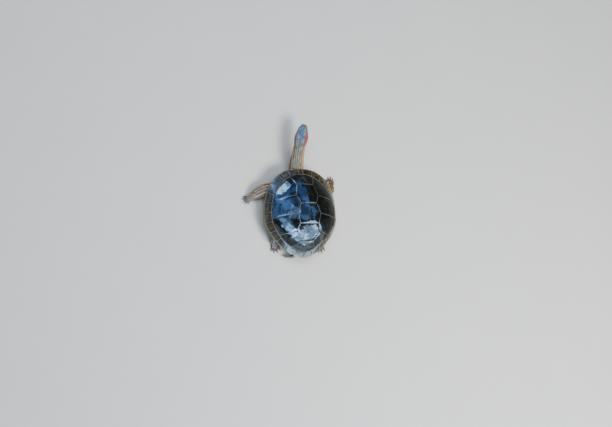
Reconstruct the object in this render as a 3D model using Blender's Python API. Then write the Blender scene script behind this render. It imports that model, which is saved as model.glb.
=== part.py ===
"""Red-eared slider, life size, as a still museum model of a basking turtle.

Metres, +Z up. The head points along -Y and the turtle's left side is +X. The origin is the
middle of the plastron's flat underside, which lies on the floor with the soles of the feet.
"""
import math

import bmesh
import bpy
from mathutils import Quaternion, Vector

# The shell, seen from above: an egg, widest a little behind its middle.
SHELL_LENGTH = 0.220
SHELL_WIDTH = 0.188
SHELL_HEIGHT = 0.099
WIDEST_Y = 0.0135
FRONT_REACH = SHELL_LENGTH / 2 + WIDEST_Y
REAR_REACH = SHELL_LENGTH / 2 - WIDEST_Y
FRONT_POWER = 2.46
REAR_POWER = 1.60

# Profile of the carapace towards its front, its side and its rear.
RIM_Z = (0.040, 0.030, 0.034)
MARGIN_RADIUS = (0.790, 0.872, 0.850)  # inner edge of the marginal scutes, as a share of the rim
NUCHAL_REACH = 0.085  # how much further out it runs to a point over the neck
MARGIN_RISE = (0.17, 0.36, 0.12)  # how high that edge lies between rim and crown
DOME_POWER = (2.4, 2.6, 2.1)

# Scute layout. Stations run from the front rim, 0, to the rear rim, 1.
# Each vertebral seam or side corner is (station, half width).
VERTEBRAL_SEAMS = ((0.200, 0.0214), (0.426, 0.0195), (0.650, 0.0232), (0.832, 0.0170))
VERTEBRAL_CORNERS = ((0.331, 0.0283), (0.539, 0.0289), (0.731, 0.0285))
FIRST_VERTEBRAL_FRONT = 0.0300
LAST_VERTEBRAL_REAR = 0.0270
PLEURAL_SEAM_STATIONS = (0.369, 0.567, 0.757)
MARGINALS_A_SIDE = 12
NUCHAL_HALF_WIDTH = 0.0060
MARGINAL_GROUPS = (("front", 0, 4), ("bridge", 4, 7), ("rear", 7, 12))
REAR_NOTCH = 0.018  # depth of the notches in the rear rim, as a share of its radius

GAP = 0.0004  # between neighbouring solids
PLATE_DEPTH = 0.0058
TRUNK_CLEARANCE = 0.0009
TRUNK_WALL = ((0.12, 1.0), (0.45, 0.93))  # the walls draw in below the rim: level down, share of plan
PLASTRON_BITE = 0.0014  # how far the trunk would sink into the plastron before it is cut back
POCKET_START = 0.040  # half width where the trunk's underside starts to climb above each leg
POCKET_CLIMB = 0.030
POCKET_ENDS = (0.030, 0.050)  # how far from the middle the bridges end and the pockets begin
RIM_THICKNESS = 0.0016

# The plastron: a flat plate whose bridges climb to the rim on either side.
PLASTRON_DEPTH = 0.0052
PLASTRON_FLAT = 0.054  # half width of the flat underside
BRIDGE_OUTER = 0.0865
BRIDGE_CLIMB = 0.0226
BRIDGE_POWER = 1.6
PLASTRON_EDGE = (  # right half, front to rear
    (0.0000, -0.0960), (0.0160, -0.0990), (0.0310, -0.0935), (0.0410, -0.0800),
    (0.0455, -0.0620), (0.0505, -0.0440), (0.0690, -0.0370), (BRIDGE_OUTER, -0.0330),
    (BRIDGE_OUTER, 0.0000), (BRIDGE_OUTER, 0.0300), (0.0690, 0.0370), (0.0520, 0.0430),
    (0.0435, 0.0560), (0.0410, 0.0720), (0.0355, 0.0850), (0.0225, 0.0925), (0.0065, 0.0905),
)

# The neck and the tail: (x, y, z, half width, half height) along each. The head is tipped to its
# left, so that its right side turns up, and the neck twists towards it from one section to the next.
HEAD_ROLL = 24.0
NECK_ROLLS = (10.0, 12.0, 15.0, 18.0, 21.0, 24.0)
NECK = (
    (0.0025, -0.0860, 0.0225, 0.0190, 0.0138), (0.0030, -0.1105, 0.0232, 0.0182, 0.0138),
    (0.0028, -0.1270, 0.0300, 0.0170, 0.0142), (0.0020, -0.1430, 0.0368, 0.0156, 0.0138),
    (0.0000, -0.1580, 0.0418, 0.0147, 0.0130), (-0.0029, -0.1718, 0.0438, 0.0149, 0.0125),
)
TAIL = (
    (0.0000, 0.0760, 0.0200, 0.0105, 0.0095), (0.0030, 0.0890, 0.0190, 0.0085, 0.0078),
    (0.0110, 0.0985, 0.0160, 0.0062, 0.0058), (0.0215, 0.1030, 0.0125, 0.0045, 0.0042),
    (0.0325, 0.1030, 0.0092, 0.0028, 0.0026), (0.0410, 0.1000, 0.0072, 0.0010, 0.0010),
)

# The head: distance behind the snout, half width, height above and depth below its axis.
SNOUT = Vector((-0.0158, -0.2205, 0.0450))
HEAD_BASE = Vector((-0.0030, -0.1722, 0.0438))
HEAD = (
    (0.0000, 0.0032, 0.0028, 0.0022), (0.0014, 0.0058, 0.0052, 0.0050),
    (0.0050, 0.0082, 0.0071, 0.0069), (0.0100, 0.0102, 0.0092, 0.0084),
    (0.0160, 0.0123, 0.0109, 0.0097), (0.0230, 0.0145, 0.0119, 0.0109),
    (0.0300, 0.0162, 0.0122, 0.0119), (0.0375, 0.0169, 0.0122, 0.0126),
    (0.0440, 0.0164, 0.0121, 0.0128), (0.0500, 0.0151, 0.0119, 0.0126),
)
EYE_RADIUS = 0.0049
EYE_PLACE = (0.0140, 0.0078, 0.0034)  # behind the snout, to the side, above the axis
JAW_LINE = ((-0.001, -0.0010), (0.008, -0.0024), (0.018, -0.0012), (0.0235, -0.0032))
JAW_BACK = 0.0260

# The legs, as the neck, each ending at the wrist or ankle, and the way its foot points.
FORE_LEG_LEFT = (
    (0.0420, -0.0520, 0.0220, 0.0170, 0.0120), (0.0620, -0.0595, 0.0212, 0.0172, 0.0120),
    (0.0820, -0.0600, 0.0195, 0.0168, 0.0120), (0.0980, -0.0540, 0.0160, 0.0150, 0.0110),
    (0.1090, -0.0485, 0.0115, 0.0122, 0.0092), (0.1155, -0.0450, 0.0078, 0.0106, 0.0069),
)
FORE_LEG_RIGHT = (
    (-0.0420, -0.0500, 0.0220, 0.0160, 0.0118), (-0.0600, -0.0535, 0.0202, 0.0160, 0.0116),
    (-0.0760, -0.0580, 0.0170, 0.0148, 0.0110), (-0.0870, -0.0650, 0.0125, 0.0124, 0.0095),
    (-0.0908, -0.0735, 0.0078, 0.0106, 0.0069),
)
HIND_LEG_LEFT = (
    (0.0380, 0.0380, 0.0220, 0.0155, 0.0120), (0.0500, 0.0450, 0.0205, 0.0150, 0.0117),
    (0.0580, 0.0530, 0.0165, 0.0136, 0.0106), (0.0610, 0.0600, 0.0118, 0.0120, 0.0092),
    (0.0612, 0.0660, 0.0078, 0.0106, 0.0069),
)
FORE_LEFT_HEADING = (0.860, 0.510)
FORE_RIGHT_HEADING = (-0.180, -0.984)
HIND_LEFT_HEADING = (-0.300, 0.954)

# The feet: toes spread from the wrist or ankle, each with its reach and the length of its claw.
FORE_TOES = ((-34, 0.0170, 0.0050), (-17, 0.0205, 0.0065), (0, 0.0215, 0.0070),
             (17, 0.0200, 0.0065), (34, 0.0168, 0.0050))
HIND_TOES = ((-40, 0.0205, 0.0050), (-20, 0.0240, 0.0055), (0, 0.0250, 0.0055),
             (19, 0.0235, 0.0050), (38, 0.0195, 0.0000))
FORE_TOE_HALF_WIDTH = 0.0021
HIND_TOE_HALF_WIDTH = 0.0027
WEB_SHARE = 0.78  # reach of the web between two toes
HEEL_HALF_WIDTH = 0.0104
HEEL_HEIGHT = 0.0140
PALM_HEIGHT = 0.0112
TOE_HEIGHT = 0.0044
WEB_HEIGHT = 0.0022
CLAW_TIP_HEIGHT = 0.0012

COLOURS = {  # base colour and roughness
    "scute": ((0.020, 0.021, 0.020, 1), 0.22),
    "plastron": ((0.55, 0.42, 0.12, 1), 0.40),
    "skin": ((0.075, 0.085, 0.045, 1), 0.60),
    "eye": ((0.20, 0.24, 0.06, 1), 0.08),
}


def clear_scene():
    for found in list(bpy.data.objects):
        bpy.data.objects.remove(found, do_unlink=True)


def finish(name, bm, finish_name):
    """Turns a bmesh into a named object with its material."""
    bmesh.ops.recalc_face_normals(bm, faces=bm.faces)
    mesh = bpy.data.meshes.new(name)
    bm.to_mesh(mesh)
    bm.free()
    mesh.shade_smooth()
    mesh.set_sharp_from_angle(angle=math.radians(35))
    made = bpy.data.objects.new(name, mesh)
    bpy.context.scene.collection.objects.link(made)
    material = bpy.data.materials.get(finish_name) or bpy.data.materials.new(finish_name)
    material.use_nodes = True
    surface = material.node_tree.nodes["Principled BSDF"]
    colour, roughness = COLOURS[finish_name]
    surface.inputs["Base Color"].default_value = colour
    surface.inputs["Roughness"].default_value = roughness
    surface.inputs["Metallic"].default_value = 0.0
    mesh.materials.append(material)
    return made


def mix(values, shares):
    return sum(value * share for value, share in zip(values, shares))


def egg_radius(x, y, soften=0.0):
    """A plan point's radius, 1 at the rim. soften turns the egg's outline into an ellipse."""
    along = (y - WIDEST_Y) / (FRONT_REACH if y < WIDEST_Y else REAR_REACH)
    power = FRONT_POWER if along < 0 else REAR_POWER
    power += (2 - power) * soften
    return ((abs(x) / (SHELL_WIDTH / 2)) ** power + abs(along) ** power) ** (1 / power)


def bearing(x, y):
    """A plan point's radius and the shares of its direction to front, side and rear."""
    along = (y - WIDEST_Y) / (FRONT_REACH if y < WIDEST_Y else REAR_REACH)
    radius = egg_radius(x, y)
    if radius < 1e-6:
        return 0.0, (0.0, 1.0, 0.0)
    facing = (along / radius) ** 2
    front, rear = (facing, 0.0) if along < 0 else (0.0, facing)
    return radius, (front, 1.0 - front - rear, rear)


def margin_radius(shares):
    return mix(MARGIN_RADIUS, shares) + NUCHAL_REACH * shares[0] ** 5


def carapace_z(x, y):
    """Height of the carapace's outer surface over a plan point."""
    radius, shares = bearing(x, y)
    rim = mix(RIM_Z, shares)
    margin = margin_radius(shares)
    foot = mix(MARGIN_RISE, shares)
    if radius < margin:
        dome = egg_radius(x, y, 1 - (radius / margin) ** 2) / margin
        rise = foot + (1 - foot) * (1 - dome ** mix(DOME_POWER, shares))
    else:
        rise = foot * max(0.0, 1 - radius) / (1 - margin)
    return rim + (SHELL_HEIGHT - rim) * rise


def plastron_z(x, y):
    """Height of the plastron's underside, flat in the middle and climbing along the bridges."""
    beyond = max(0.0, abs(x) - PLASTRON_FLAT) / (BRIDGE_OUTER - PLASTRON_FLAT)
    return BRIDGE_CLIMB * beyond ** BRIDGE_POWER


def rim_table(count=720):
    """The left rim as (length so far, x, y), front to rear."""
    table = []
    length = 0.0
    for i in range(count + 1):
        turn = math.pi * i / count
        along, across = -math.cos(turn), math.sin(turn)
        power = FRONT_POWER if along < 0 else REAR_POWER
        x = SHELL_WIDTH / 2 * max(0.0, across) ** (2 / power)
        reach = FRONT_REACH if along < 0 else REAR_REACH
        y = WIDEST_Y + reach * math.copysign(abs(along) ** (2 / power), along)
        if table:
            length += math.dist((x, y), table[-1][1:])
        table.append((length, x, y))
    return table


RIM_TABLE = rim_table()
RIM_HALF_LENGTH = RIM_TABLE[-1][0]


def rim_at(share):
    """Plan point on the left rim, share 0 at the front and 1 at the rear, by length."""
    wanted = share * RIM_HALF_LENGTH
    for (a, ax, ay), (b, bx, by) in zip(RIM_TABLE, RIM_TABLE[1:]):
        if wanted <= b:
            t = (wanted - a) / (b - a)
            return ax + (bx - ax) * t, ay + (by - ay) * t
    return RIM_TABLE[-1][1:]


def inward(share, radius):
    """Plan point on the line from the shell's centre to the rim, at that share of the rim."""
    x, y = rim_at(share)
    return x * radius, WIDEST_Y + (y - WIDEST_Y) * radius


def margin_at(share):
    """Plan point on the seam between marginal and inner scutes."""
    _, shares = bearing(*rim_at(share))
    return inward(share, margin_radius(shares))


def margin_share(coordinate, wanted):
    """Share of the rim where the margin seam reaches a wanted x (0) or y (1)."""
    low, high = (0.0, 0.3) if coordinate == 0 else (0.0, 1.0)
    for _ in range(40):
        middle = (low + high) / 2
        if margin_at(middle)[coordinate] < wanted:
            low = middle
        else:
            high = middle
    return low


def rear_share(half_width):
    """Share of the rim where the margin seam comes back in to a half width at the rear."""
    low, high = 0.7, 1.0
    for _ in range(40):
        middle = (low + high) / 2
        if margin_at(middle)[0] > half_width:
            low = middle
        else:
            high = middle
    return low


def station_y(station):
    return SHELL_LENGTH * (station - 0.5)


def margin_arc(start, end, steps):
    return [margin_at(start + (end - start) * i / steps) for i in range(steps + 1)]


def mirrored(points):
    return [(-x, y) for x, y in reversed(points)]


def divided(corners, longest=0.013):
    """The closed outline with its long edges divided."""
    points = []
    for a, b in zip(corners, corners[1:] + corners[:1]):
        steps = max(1, math.ceil(math.dist(a, b) / longest))
        points += [(a[0] + (b[0] - a[0]) * i / steps, a[1] + (b[1] - a[1]) * i / steps)
                   for i in range(steps)]
    return points


def inset(points, by):
    """The outline drawn in by a distance, square to each edge."""
    area = sum(a[0] * b[1] - b[0] * a[1] for a, b in zip(points, points[1:] + points[:1]))
    ring = points if area > 0 else points[::-1]
    drawn = []
    for before, here, after in zip(ring[-1:] + ring[:-1], ring, ring[1:] + ring[:1]):
        first = Vector((here[0] - before[0], here[1] - before[1])).normalized()
        second = Vector((after[0] - here[0], after[1] - here[1])).normalized()
        normals = Vector((-first.y, first.x)) + Vector((-second.y, second.x))
        reach = 2 * by / max(normals.length_squared, 0.4)
        drawn.append((here[0] + normals.x * reach, here[1] + normals.y * reach))
    return drawn


def plate(name, outline, top, bottom, rings, finish_name, wall=()):
    """A closed solid between two heights over a plan outline, meshed in rings about its middle.

    wall adds loops on the way down: the level from the top, 0, to the bottom, 1, and the share of
    the outline. The bottom starts from the last of them.
    """
    bm = bmesh.new()
    middle_x = sum(x for x, _ in outline) / len(outline)
    middle_y = sum(y for _, y in outline) / len(outline)

    def plan_at(share):
        return [(middle_x + (x - middle_x) * share, middle_y + (y - middle_y) * share)
                for x, y in outline]

    foot_share = wall[-1][1] if wall else 1.0
    rims = []
    for height, count, widest in ((top, rings[0], 1.0), (bottom, rings[1], foot_share)):
        loops = []
        for k in range(count):
            share = 1 - k / count
            loops.append([bm.verts.new((x, y, height(x, y, i, share)))
                          for i, (x, y) in enumerate(plan_at(share * widest))])
        centre = bm.verts.new((middle_x, middle_y, height(middle_x, middle_y, 0, 0.0)))
        for outer, inner in zip(loops, loops[1:]):
            bridge(bm, outer, inner)
        cap(bm, loops[-1], centre)
        rims.append(loops[0])
    for level, share in wall:
        loop = [(x, y, top(x, y, i, 1.0), bottom(x, y, i, 1.0))
                for i, (x, y) in enumerate(plan_at(share))]
        rims.insert(-1, [bm.verts.new((x, y, high + (low - high) * level)) for x, y, high, low in loop])
    for upper, lower in zip(rims, rims[1:]):
        bridge(bm, upper, lower)
    bmesh.ops.triangulate(bm, faces=bm.faces, quad_method="FIXED")
    return finish(name, bm, finish_name)


def bridge(bm, outer, inner):
    for i in range(len(outer)):
        j = (i + 1) % len(outer)
        bm.faces.new((outer[i], outer[j], inner[j], inner[i]))


def cap(bm, loop, centre):
    for i in range(len(loop)):
        bm.faces.new((loop[i], loop[(i + 1) % len(loop)], centre))


def section_axes(along, roll=0.0):
    """Across and upward of a cross-section square to the way along, rolled by degrees."""
    turn = Quaternion(along, math.radians(roll))
    across = along.cross(Vector((0, 0, 1))).normalized()
    return turn @ across, turn @ across.cross(along).normalized()


def ring(centre, along, width, up, down, sides, squareness, roll=0.0):
    """Points of one cross-section, square to the way along."""
    across, upward = section_axes(along, roll)
    points = []
    for i in range(sides):
        turn = 2 * math.pi * i / sides
        side = math.copysign(abs(math.cos(turn)) ** (2 / squareness), math.cos(turn))
        rise = math.copysign(abs(math.sin(turn)) ** (2 / squareness), math.sin(turn))
        points.append(centre + across * (side * width) + upward * (rise * (up if rise > 0 else down)))
    return points


def tube(name, rings, finish_name):
    """A closed solid through a list of cross-sections."""
    bm = bmesh.new()
    loops = [[bm.verts.new(point) for point in points] for points in rings]
    for first, second in zip(loops, loops[1:]):
        bridge(bm, first, second)
    for loop in (loops[0], loops[-1]):
        middle = sum((vertex.co for vertex in loop), Vector()) / len(loop)
        cap(bm, loop, bm.verts.new(middle))
    return finish(name, bm, finish_name)


def limb_rings(stations, sides, last_way=None, rolls=None):
    """Cross-sections of a neck, leg or tail from its stations. last_way squares the end to a heading."""
    centres = [Vector(station[:3]) for station in stations]
    rolls = rolls or [0.0] * len(stations)
    rings = []
    for i, (*_, width, height) in enumerate(stations):
        way = centres[min(i + 1, len(centres) - 1)] - centres[max(i - 1, 0)]
        if last_way is not None and i == len(stations) - 1:
            way = Vector(last_way)
        rings.append(ring(centres[i], way.normalized(), width, height, height, sides, 2.15, rolls[i]))
    return rings


def cut_away(target, cutter, operation="DIFFERENCE"):
    modifier = target.modifiers.new("Cut by " + cutter.name, "BOOLEAN")
    modifier.operation = operation
    modifier.solver = "EXACT"
    modifier.object = cutter


def as_cutter(helper):
    helper.hide_render = True
    helper.display_type = "WIRE"
    return helper


def trunk_floor(x, y):
    """Climb of the trunk's underside: with the bridges in the middle, in pockets above the legs."""
    start, end = POCKET_ENDS
    pocket = min(1.0, max(0.0, (abs(y) - start) / (end - start)))
    climb = POCKET_CLIMB * (max(0.0, abs(x) - POCKET_START) / POCKET_START) ** 1.2
    return plastron_z(x, y) * (1 - pocket) + climb * pocket


def trunk_outline(grow=0.0):
    """Plan of the trunk, just inside the marginal scutes all round."""
    left = margin_arc(0.0, 1.0, 30)
    return inset(left + mirrored(left)[1:-1], GAP - grow)


def make_trunk(name="trunk", grow=0.0):
    """The body inside the shell, seen only in the openings at the neck, legs and tail."""
    lift = PLASTRON_DEPTH - PLASTRON_BITE - grow

    def top(x, y, *_):
        return carapace_z(x, y) - PLATE_DEPTH - TRUNK_CLEARANCE + grow

    def bottom(x, y, *_):
        return trunk_floor(x, y) + lift

    return plate(name, trunk_outline(grow), top, bottom, (5, 4), "skin", TRUNK_WALL)


def make_plastron(name="plastron", grow=0.0):
    """The lower shell, with the bridges that reach up to the rim."""
    right = list(PLASTRON_EDGE)
    outline = divided(right + [(-x, y) for x, y in right[:0:-1]], 0.020)

    def top(x, y, *_):
        return plastron_z(x, y) + PLASTRON_DEPTH + grow

    def bottom(x, y, *_):
        return plastron_z(x, y) - grow

    return plate(name, inset(outline, -grow), top, bottom, (4, 4), "plastron")


def make_scute(name, corners):
    def top(x, y, *_):
        return carapace_z(x, y)

    def bottom(x, y, *_):
        return carapace_z(x, y) - PLATE_DEPTH

    plate(name, inset(divided(corners), GAP / 2), top, bottom, (3, 2), "scute")


def make_vertebrals_and_pleurals():
    """The five scutes over the backbone and the four on each flank."""
    front_share = margin_share(0, FIRST_VERTEBRAL_FRONT)
    rear = rear_share(LAST_VERTEBRAL_REAR)
    seams = [(half, station_y(station)) for station, half in VERTEBRAL_SEAMS]
    corners = [(half, station_y(station)) for station, half in VERTEBRAL_CORNERS]
    margins = [front_share, *(margin_share(1, station_y(s)) for s in PLEURAL_SEAM_STATIONS), rear]

    front_edge = margin_arc(0.0, front_share, 2)
    rear_edge = margin_arc(rear, 1.0, 2)
    columns = [front_edge + [seams[0]]]
    columns += [[seams[k], corners[k], seams[k + 1]] for k in range(3)]
    columns.append([seams[3]] + rear_edge)
    for k, left in enumerate(columns):
        right = [(-x, y) for x, y in reversed(left) if x > 1e-9]
        make_scute(f"vertebral_{k + 1}", left + right)

    inner_edges = [[corners[0], seams[0]], [corners[1], seams[1], corners[0]],
                   [corners[2], seams[2], corners[1]], [seams[3], corners[2]]]
    for k, inner in enumerate(inner_edges):
        outline = margin_arc(margins[k], margins[k + 1], 5) + inner
        make_scute(f"pleural_{k + 1}_left", outline)
        make_scute(f"pleural_{k + 1}_right", mirrored(outline))


def marginal_seams():
    """Shares of the rim at the seams between marginal scutes, the first beside the nuchal."""
    first = NUCHAL_HALF_WIDTH / RIM_HALF_LENGTH
    return [first + (1 - first) * k / MARGINALS_A_SIDE for k in range(MARGINALS_A_SIDE + 1)]


def notch(share, seams):
    """How far the rear rim is drawn in at a share of its length, deepest at each seam."""
    nearest = min(abs(share - seam) for seam in seams[8:])
    width = 0.010
    return REAR_NOTCH * max(0.0, 1 - nearest / width)


def rim_section(share, side, seams):
    """One cross-section of the marginal scutes, from their inner top edge round to the inside."""
    _, shares = bearing(*rim_at(share))
    rim = mix(RIM_Z, shares)
    margin = margin_radius(shares) + GAP / (SHELL_WIDTH / 2)
    edge = 1 - notch(share, seams)
    points = []
    for t in (0.0, 0.5, 0.9):
        radius = margin + (edge - margin) * t
        x, y = inward(share, radius)
        points.append(Vector((side * x, y, carapace_z(x, y))))
    for radius, z in ((edge, rim - RIM_THICKNESS / 2), (edge - 0.02, rim - RIM_THICKNESS),
                      (margin, rim - RIM_THICKNESS * 0.4)):
        x, y = inward(share, radius)
        points.append(Vector((side * x, y, z)))
    return points


def make_marginals():
    """The nuchal scute and the twelve marginals of each side, in three lengths a side."""
    seams = marginal_seams()
    trim = GAP / 2 / RIM_HALF_LENGTH
    nuchal = [rim_section(abs(share), math.copysign(1, share), seams)
              for share in (-seams[0] + trim, -seams[0] / 2, 0.0, seams[0] / 2, seams[0] - trim)]
    tube("nuchal", nuchal, "scute")
    for side, side_name in ((1, "left"), (-1, "right")):
        for group, first, last in MARGINAL_GROUPS:
            sections = []
            for k in range(first, last):
                for t in (0.0, 0.15, 0.5, 0.85):
                    start = seams[k] + (trim if k == first else 0)
                    sections.append(start + (seams[k + 1] - start) * t)
            sections.append(seams[last] - trim)
            rings = [rim_section(share, side, seams) for share in sections]
            tube(f"marginals_{group}_{side_name}", rings, "scute")


def head_axes():
    along = (HEAD_BASE - SNOUT).normalized()
    return along, *section_axes(along, HEAD_ROLL)


def head_point(behind, across, above):
    """Place in the head from the distance behind the snout, to its left, and above its axis."""
    along, left, up = head_axes()
    return SNOUT + along * behind + left * across + up * above


def make_jaw_cutter(name, grow):
    """A block with the mouth line as its top, for parting the lower jaw."""
    line = [(behind, above + grow) for behind, above in JAW_LINE]
    back = JAW_BACK + grow
    profile = [(line[0][0] - 0.004, line[0][1])] + line + [(back, -0.0075), (back, -0.02), (-0.005, -0.02)]
    rings = [[head_point(behind, across, above) for behind, above in profile]
             for across in (-0.025, 0.025)]
    return as_cutter(tube(name, rings, "skin"))


def make_head():
    along, _, _ = head_axes()
    sections = [ring(SNOUT + along * behind, along, width, up, down, 22, 2.35, HEAD_ROLL)
                for behind, width, up, down in HEAD]
    head = tube("head", sections, "skin")
    jaw = tube("lower_jaw", sections, "skin")
    cut_away(jaw, make_jaw_cutter("jaw_block", 0.0), "INTERSECT")
    cut_away(head, make_jaw_cutter("jaw_clearance", GAP))
    behind, across, above = EYE_PLACE
    for side, side_name in ((1, "left"), (-1, "right")):
        place = head_point(behind, side * across, above)
        make_ball(f"eye_{side_name}", place, EYE_RADIUS, 20, 12)
        cut_away(head, as_cutter(make_ball(f"socket_{side_name}", place, EYE_RADIUS + GAP, 20, 12)))


def make_ball(name, place, radius, around, rings):
    bm = bmesh.new()
    bmesh.ops.create_uvsphere(bm, u_segments=around, v_segments=rings, radius=radius)
    ball = finish(name, bm, "eye")
    ball.location = place
    return ball


def make_foot(name, ankle, heading, toes, toe_half_width, turn_side):
    """A webbed foot flat on the floor, with its claws. turn_side mirrors the order of its toes."""
    ahead = Vector(heading).normalized()
    left = Vector((-ahead.y, ahead.x))
    start = Vector(ankle) + ahead * GAP

    def place(forward, aside):
        spot = start + ahead * forward + left * aside
        return spot.x, spot.y

    outline = [place(0, -HEEL_HALF_WIDTH)]
    heights = [HEEL_HEIGHT * 0.55]
    ordered = [(angle * turn_side, reach, claw) for angle, reach, claw in toes][::turn_side]
    for k, (angle, reach, claw) in enumerate(ordered):
        turn = math.radians(angle)
        way = (math.cos(turn), math.sin(turn))
        for share, aside, height in ((0.84, -1.0, TOE_HEIGHT), (1.0, -0.62, TOE_HEIGHT * 0.85),
                                     (None, 0.0, CLAW_TIP_HEIGHT if claw else TOE_HEIGHT * 0.8),
                                     (1.0, 0.62, TOE_HEIGHT * 0.85), (0.84, 1.0, TOE_HEIGHT)):
            out = reach * share if share else reach + max(claw, 0.0012)
            side = aside * toe_half_width
            outline.append(place(way[0] * out - way[1] * side, way[1] * out + way[0] * side))
            heights.append(height)
        if k + 1 < len(ordered):
            between = math.radians((angle + ordered[k + 1][0]) / 2)
            web = WEB_SHARE * (reach + ordered[k + 1][1]) / 2
            outline.append(place(math.cos(between) * web, math.sin(between) * web))
            heights.append(WEB_HEIGHT)
    outline += [place(0, HEEL_HALF_WIDTH), place(0, HEEL_HALF_WIDTH * 0.4), place(0, -HEEL_HALF_WIDTH * 0.4)]
    heights += [HEEL_HEIGHT * 0.55, HEEL_HEIGHT, HEEL_HEIGHT]

    def top(x, y, i, share):
        return PALM_HEIGHT + (heights[i] - PALM_HEIGHT) * share ** 1.4

    def bottom(x, y, i, share):
        return 0.0

    return plate(name, outline, top, bottom, (4, 1), "skin")


def make_leg(name, stations, heading):
    rings = limb_rings(stations, 18, (heading[0], heading[1], 0.0))
    return tube(name, rings, "skin")


def flipped(stations):
    return tuple((-station[0], *station[1:]) for station in stations)


def make_limbs(keep_out):
    hind_right = (-HIND_LEFT_HEADING[0], HIND_LEFT_HEADING[1])
    limbs = (("fore", "left", FORE_LEG_LEFT, FORE_LEFT_HEADING, 1),
             ("fore", "right", FORE_LEG_RIGHT, FORE_RIGHT_HEADING, -1),
             ("hind", "left", HIND_LEG_LEFT, HIND_LEFT_HEADING, 1),
             ("hind", "right", flipped(HIND_LEG_LEFT), hind_right, -1))
    for end, side_name, stations, heading, turn_side in limbs:
        toes, half_width = ((FORE_TOES, FORE_TOE_HALF_WIDTH) if end == "fore"
                            else (HIND_TOES, HIND_TOE_HALF_WIDTH))
        leg = make_leg(f"{end}_leg_{side_name}", stations, heading)
        foot = make_foot(f"{end}_foot_{side_name}", stations[-1][:2], heading, toes, half_width, turn_side)
        for target in (leg, foot):
            for cutter in keep_out:
                cut_away(target, cutter)


def make_neck_and_tail(keep_out):
    along, _, _ = head_axes()
    rolls = [-roll for roll in NECK_ROLLS]
    neck = tube("neck", limb_rings(NECK, 22, -along, rolls), "skin")
    tail = tube("tail", limb_rings(TAIL, 14), "skin")
    for limb in (neck, tail):
        for cutter in keep_out:
            cut_away(limb, cutter)


clear_scene()
make_plastron()
make_vertebrals_and_pleurals()
make_marginals()
trunk = make_trunk()
trunk_clearance = as_cutter(make_trunk("trunk_clearance", GAP))
plastron_clearance = as_cutter(make_plastron("plastron_clearance", GAP))
cut_away(trunk, plastron_clearance)
make_neck_and_tail((plastron_clearance, trunk_clearance))
make_head()
make_limbs((plastron_clearance, trunk_clearance))
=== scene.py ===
# %% [markdown]
# # A red-eared slider, life size
#
# A red-eared slider is a pond turtle: a domed upper shell of horny plates, a flat yellow lower
# shell, and between them damp striped skin. This lesson dresses a plain solid model of one. The
# solids come in as a fixed frame, and every piece below stands in for one or more of them.
# Distances are in metres. The head points along -Y, the animal's left is +X and up is +Z.

import math

import bmesh
import bpy
import numpy as np
from mathutils import Matrix, Vector
from mathutils.kdtree import KDTree


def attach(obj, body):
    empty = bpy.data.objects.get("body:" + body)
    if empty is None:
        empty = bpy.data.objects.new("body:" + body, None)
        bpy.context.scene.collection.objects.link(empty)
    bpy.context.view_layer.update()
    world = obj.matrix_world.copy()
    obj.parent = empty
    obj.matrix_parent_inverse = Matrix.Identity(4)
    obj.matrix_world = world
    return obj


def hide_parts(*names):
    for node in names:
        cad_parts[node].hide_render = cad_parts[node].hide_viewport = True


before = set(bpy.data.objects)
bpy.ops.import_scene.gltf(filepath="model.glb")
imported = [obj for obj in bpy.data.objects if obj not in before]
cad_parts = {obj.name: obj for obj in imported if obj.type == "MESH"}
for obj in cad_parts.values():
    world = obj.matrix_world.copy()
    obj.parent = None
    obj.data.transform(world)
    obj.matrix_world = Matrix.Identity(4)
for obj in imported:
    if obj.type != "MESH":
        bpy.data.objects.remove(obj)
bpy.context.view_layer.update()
MM = 0.001

# %% [markdown]
# ## The shape of the shell
#
# The upper shell, seen from above, is an egg. Its rim could be drawn as a curve and its dome
# sculpted, but then each plate would have to be fitted by hand. Here one function gives the
# height of the dome over any point of the plan, so every plate that uses it lies on the same
# surface and meets its neighbours exactly. All of it works on whole arrays of points at once.

# %% The shell's measurements
SHELL_LENGTH = 0.220
SHELL_WIDTH = 0.188
SHELL_HEIGHT = 0.099
WIDEST_Y = 0.0135
FRONT_REACH = SHELL_LENGTH / 2 + WIDEST_Y
REAR_REACH = SHELL_LENGTH / 2 - WIDEST_Y
FRONT_POWER, REAR_POWER = 2.46, 1.60
RIM_Z = (0.040, 0.030, 0.034)  # front, side, rear
MARGIN_RADIUS = (0.790, 0.872, 0.850)
NUCHAL_REACH = 0.085
MARGIN_RISE = (0.17, 0.36, 0.12)
DOME_POWER = (2.4, 2.6, 2.1)


def mix(values, shares):
    return sum(value * share for value, share in zip(values, shares))


def bearing(x, y):
    """Radius of plan points, 1 at the rim, their offset along, and shares of front, side, rear."""
    along = (y - WIDEST_Y) / np.where(y < WIDEST_Y, FRONT_REACH, REAR_REACH)
    power = np.where(along < 0, FRONT_POWER, REAR_POWER)
    across = np.abs(x) / (SHELL_WIDTH / 2)
    radius = (across ** power + np.abs(along) ** power) ** (1 / power)
    facing = (along / np.maximum(radius, 1e-9)) ** 2
    front, rear = np.where(along < 0, facing, 0), np.where(along < 0, 0, facing)
    return radius, across, along, power, (front, 1 - front - rear, rear)


def margin_radius(shares):
    return mix(MARGIN_RADIUS, shares) + NUCHAL_REACH * shares[0] ** 5


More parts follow.
